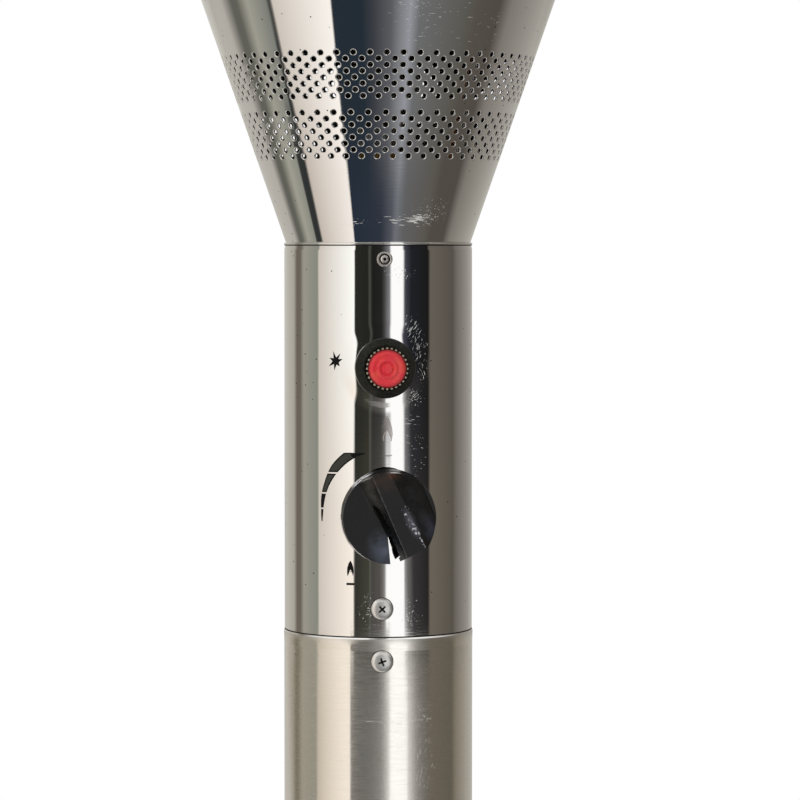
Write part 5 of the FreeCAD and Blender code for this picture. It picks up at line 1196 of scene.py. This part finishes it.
def screw_mesh(length):
    """A pan-head screw with a cross recess; its seat is at zero and its head points along +Z."""
    head = SCREW_HEAD_HEIGHT
    crown = [(r * MM, head - drop * MM, 0) for r, drop in (
        (0, 0), (0.8, 0.03), (1.6, 0.1), (2.4, 0.22), (3.1, 0.4), (3.6, 0.6), (4.0, 0.86), (4.25, 1.15))]
    outline = rounded(crown + [
        (SCREW_HEAD, head - 1.6 * MM, 0.3 * MM), (SCREW_HEAD, 0, 0), (SCREW_SHANK, 0, 0),
        (SCREW_SHANK, -length, 0.5 * MM), (0, -length, 0)], 0, 5)
    body = lathe(outline, 64)
    for turn in (0, math.pi / 2):
        body = combined(body, cross_arm(turn, head - 1.9 * MM, head + 1 * MM), "DIFFERENCE")
    return body


def cross_arm(turn, low, high, wide=0.0):
    """One arm of a cross recess."""
    half, end, reach = 0.42 * MM + wide, 0.36 * MM + wide, 1.7 * MM
    blade = prism([(-reach, -end), (0, -half), (reach, -end), (reach, end), (0, half), (-reach, end)],
                  low, high)
    blade.transform(Matrix.Rotation(turn, 4, "Z"))
    return blade


def screw_shade():
    """Painted shade in the cross recess and a painted shadow round the head's foot."""
    head = SCREW_HEAD_HEIGHT
    ring = lathe([(SCREW_HEAD - 0.3 * MM, 0), (SCREW_SHADOW, 0), (SCREW_SHADOW - 0.05 * MM, 0.3 * MM),
                  (SCREW_HEAD - 0.3 * MM, 0.5 * MM)], 64)
    arms = [cross_arm(turn, head - 1.8 * MM, head - 0.3 * MM, 0.01 * MM) for turn in (0, math.pi / 2)]
    return [ring] + arms


def rivet_mesh(length):
    """A blind rivet's flange, with a groove round the collar that its broken pin leaves."""
    top = RIVET_HEIGHT
    outline = rounded([
        (RIVET_BORE, top - 0.9 * MM, 0), (RIVET_BORE, top, 0.15 * MM), (1.05 * MM, top, 0.2 * MM),
        (1.55 * MM, top - 0.25 * MM, 0.2 * MM), (1.75 * MM, top - 0.55 * MM, 0.1 * MM),
        (2.1 * MM, top - 0.55 * MM, 0.1 * MM), (2.4 * MM, top - 0.2 * MM, 0.2 * MM),
        (2.8 * MM, top - 0.3 * MM, 0.3 * MM), (RIVET_FLANGE, 0.25 * MM, 0.2 * MM), (RIVET_FLANGE, 0, 0),
        (1.6 * MM, 0, 0), (1.6 * MM, -length, 0), (0, -length, 0), (0, top - 0.9 * MM, 0),
    ], 0, 4)
    return lathe(outline, 48)


def rivet_shade():
    """Painted shade in the rivet's bore and in its groove."""
    top = RIVET_HEIGHT
    return [lathe([(0, 0), (RIVET_BORE + 0.02 * MM, 0), (RIVET_BORE + 0.02 * MM, top - 0.3 * MM),
                   (0, top - 0.3 * MM)], 32),
            lathe([(1.65 * MM, 0.1 * MM), (2.2 * MM, 0.1 * MM), (2.15 * MM, top - 0.48 * MM),
                   (1.7 * MM, top - 0.48 * MM)], 48)]


def fastenings():
    """The rivets that hold the cone, and the screws above and below the seam, three of each."""
    rivets = (rivet_mesh(3.0 * MM), rivet_shade(), RIVETS_TURN, "rivet_aluminium")
    screws = (screw_mesh(4.0 * MM), screw_shade(), SCREWS_TURN, "fastener_steel")
    for name, node, (mesh, shade_pieces, turn, slot), spins in (
        ("cone_rivet_heads", "cone_rivets", rivets, (0, 0, 0)),
        ("neck_screw_heads", "neck_screws", screws, (0.75, 0.2, 1.1)),
        ("post_screw_heads", "post_screws", screws, (0.35, 0.5, 0.1)),
    ):
        low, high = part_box(node)
        places = [facing_out(turn + math.radians(120 * i), NECK_RADIUS, (low.z + high.z) / 2, spin)
                  for i, spin in enumerate(spins)]
        heads = merged(name, [(mesh, place) for place in places], MATERIALS[slot], 40)
        painted_shade = merged(name + "_shade", [(part, place) for part in shade_pieces for place in places],
                       MATERIALS["painted_shade"])
        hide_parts(node)
        for made in (heads, painted_shade):
            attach(made, "stand")


def valve_screws():
    """The two valve screws under the knob, with low polished heads that follow the neck's wall."""
    heads = []
    for side in (-1, 1):
        height = KNOB_Z + side * VALVE_SCREW_OFFSET
        body = lathe([
            (0, NECK_RADIUS + 0.9 * MM), (VALVE_SCREW_HEAD, NECK_RADIUS + 0.9 * MM),
            (VALVE_SCREW_HEAD, VALVE_SCREW_SEAT), (VALVE_SCREW_SHANK, VALVE_SCREW_SEAT),
            (VALVE_SCREW_SHANK, VALVE_SCREW_TIP), (0, VALVE_SCREW_TIP)], 64)
        body.transform(facing_out(0, 0, height))
        low, high = height - 5 * MM, height + 5 * MM
        crown = NECK_RADIUS + VALVE_SCREW_PROUD
        wall = lathe([(0, low), (crown, low), (crown, high), (0, high)], 256)
        heads.append((combined(body, wall, "INTERSECT"), Matrix()))
    made = merged("valve_screw_heads", heads, MATERIALS["polished_stainless"])
    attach(made, "stand")
    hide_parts("valve_screws")


# Printed marks

def printed(name, outlines, material, lift):
    """Thin ink on the neck: closed outlines in millimetres round the neck and up, laid on its round wall."""
    form = bmesh.new()
    for outline in outlines:
        form.faces.new([form.verts.new((x, z, 0)) for x, z in outline])
    lows = min(v.co.x for v in form.verts)
    highs = max(v.co.x for v in form.verts)
    place = math.ceil(lows / PRINT_STRIP) * PRINT_STRIP
    while place < highs:
        bmesh.ops.bisect_plane(form, geom=form.verts[:] + form.edges[:] + form.faces[:],
                               plane_co=(place, 0, 0), plane_no=(1, 0, 0))
        place += PRINT_STRIP
    bmesh.ops.triangulate(form, faces=form.faces[:])
    bmesh.ops.recalc_face_normals(form, faces=form.faces)
    raised = bmesh.ops.extrude_face_region(form, geom=form.faces[:])
    top = {v for v in raised["geom"] if isinstance(v, bmesh.types.BMVert)}
    for v in form.verts:
        turn = (v.co.x + PRINT_SHIFT) * MM / NECK_RADIUS
        reach = NECK_RADIUS + (lift if v in top else -INK_ROOT)
        v.co = (reach * math.sin(turn), -reach * math.cos(turn), v.co.y * MM)
    made = finish_mesh(name, closed_mesh(form, name), material, 60)
    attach(made, "stand")
    return made


def shifted(foot, *shapes):
    """Outlines moved to where a sign stands on the neck."""
    return [[(foot[0] + x, foot[1] + z) for x, z in shape] for shape in shapes]


def star_outline():
    """The spark sign: seven uneven points."""
    points = [(-1.1, 3.9), (2.1, 3.1), (3.05, 0.8), (1.75, -2.1), (-0.6, -3.7), (-3.1, -2.1), (-2.8, 1.3)]
    turns = [math.atan2(z, x) for x, z in points]
    out = []
    for i, (x, z) in enumerate(points):
        gap = (turns[i] - turns[(i + 1) % len(turns)]) % (2 * math.pi)
        between = turns[i] - gap / 2
        out += [(x, z), (1.45 * math.cos(between), 1.45 * math.sin(between))]
    return shifted(STAR, out)


def clipped(points, low, high):
    """The stretch of a falling line of points that lies between two heights."""
    out = []
    for (x, z), (next_x, next_z) in zip(points, points[1:]):
        for edge in (high, low):
            if z > edge >= next_z:
                share = (z - edge) / (z - next_z)
                out.append((x + (next_x - x) * share, edge))
        if low < next_z < high:
            out.append((next_x, next_z))
    return ([points[0]] if points[0][1] < high else []) + out


def arc_pieces(line=0.0):
    """The swelling arc beside the knob, parted by level gaps; its fill lies a line's width in."""
    middle = KNOB_Z / MM
    outer, inner = [], []
    for (angle, near_a, far_a), (next_angle, near_b, far_b) in zip(ARC, ARC[1:]):
        for k in range(4):
            share = k / 4
            turn = math.radians(angle + (next_angle - angle) * share)
            for edge, reach in ((outer, far_a + (far_b - far_a) * share - line),
                                (inner, near_a + (near_b - near_a) * share + line)):
                edge.append((-reach * math.sin(turn), middle + reach * math.cos(turn)))
    marks_at = [99] + list(ARC_GAPS) + [-99]
    pieces = []
    for high, low in zip(marks_at, marks_at[1:]):
        low, high = middle + low + ARC_GAP / 2 + line, middle + high - ARC_GAP / 2 - line
        first, second = clipped(outer, low, high), clipped(inner, low, high)
        if first and second:
            pieces.append(first + second[::-1])
    return pieces


def flame_outline(foot, scale):
    """A flame with an open, pointed arch in its foot and a line under it, from its foot's middle."""
    flame = [(-1.25, 0), (-1.5, 1.6), (-1.4, 3.4), (-0.85, 5.2), (-0.05, 6.3), (0.6, 5.2), (1.1, 3.6),
             (1.3, 1.9), (0.95, 0.1), (0.75, 1.0), (0.35, 2.1), (-0.05, 2.75), (-0.4, 2.1), (-0.75, 1.1)]
    line = [(-1.75, -3.5), (1.6, -3.5), (1.6, -2.6), (-1.75, -2.6)]
    return shifted(foot, *([(x * scale, z * scale) for x, z in shape] for shape in (flame, line)))


def marks():
    """The signs printed on the neck: spark, swelling arc, low flame and a high flame nearly rubbed away."""
    ink, worn = MATERIALS["black_ink"], MATERIALS["worn_ink"]
    printed("spark_sign", star_outline(), ink, INK)
    printed("heat_arc", arc_pieces(), ink, INK)
    fill = [[(x, z) for x, z in piece if x < ARC_TIP] for piece in arc_pieces(ARC_LINE)[:2]]
    printed("heat_arc_fill", fill, MATERIALS["grey_ink"], INK * 1.5)
    printed("low_flame_sign", flame_outline(LOW_FLAME, 1.0), ink, INK)
    printed("high_flame_sign", flame_outline(HIGH_FLAME, 1.66)[:1], worn, INK)
    printed("high_flame_tongue", shifted(
        HIGH_FLAME,
        [(-1.7, 0.4), (-1.85, 2.2), (-1.1, 3.9), (-0.1, 4.9), (0.0, 4.55), (-0.8, 3.7), (-1.5, 2.2),
         (-1.35, 0.4)],
        [(1.5, 0.5), (1.7, 1.9), (1.2, 3.3), (0.95, 3.2), (1.35, 1.9), (1.2, 0.5)],
    ), MATERIALS["pale_ink"], INK * 1.5)
    printed("high_flame_line", shifted(
        HIGH_FLAME_LINE, [(-1.2, -0.3), (0.8, -0.4), (1.9, -0.1), (1.7, 0.4), (0.3, 0.3), (-1.2, 0.1)],
    ), worn, INK)


# Build

def dress_nodes():
    """Gives each CAD node its finished material."""
    slots = {part["node"]: part["material_slot"] for part in frame["record"]["subparts"]}
    for name, node in frame["nodes"].items():
        node.data.materials.clear()
        node.data.materials.append(MATERIALS[slots[name]])


dress_nodes()
sheet_metal()
knob()
bezel()
toothed_ring()
button()
fastenings()
valve_screws()
marks()

scene = bpy.context.scene
scene.view_settings.view_transform = "Standard"
studio()
overhead_lamp()
floor()
camera()
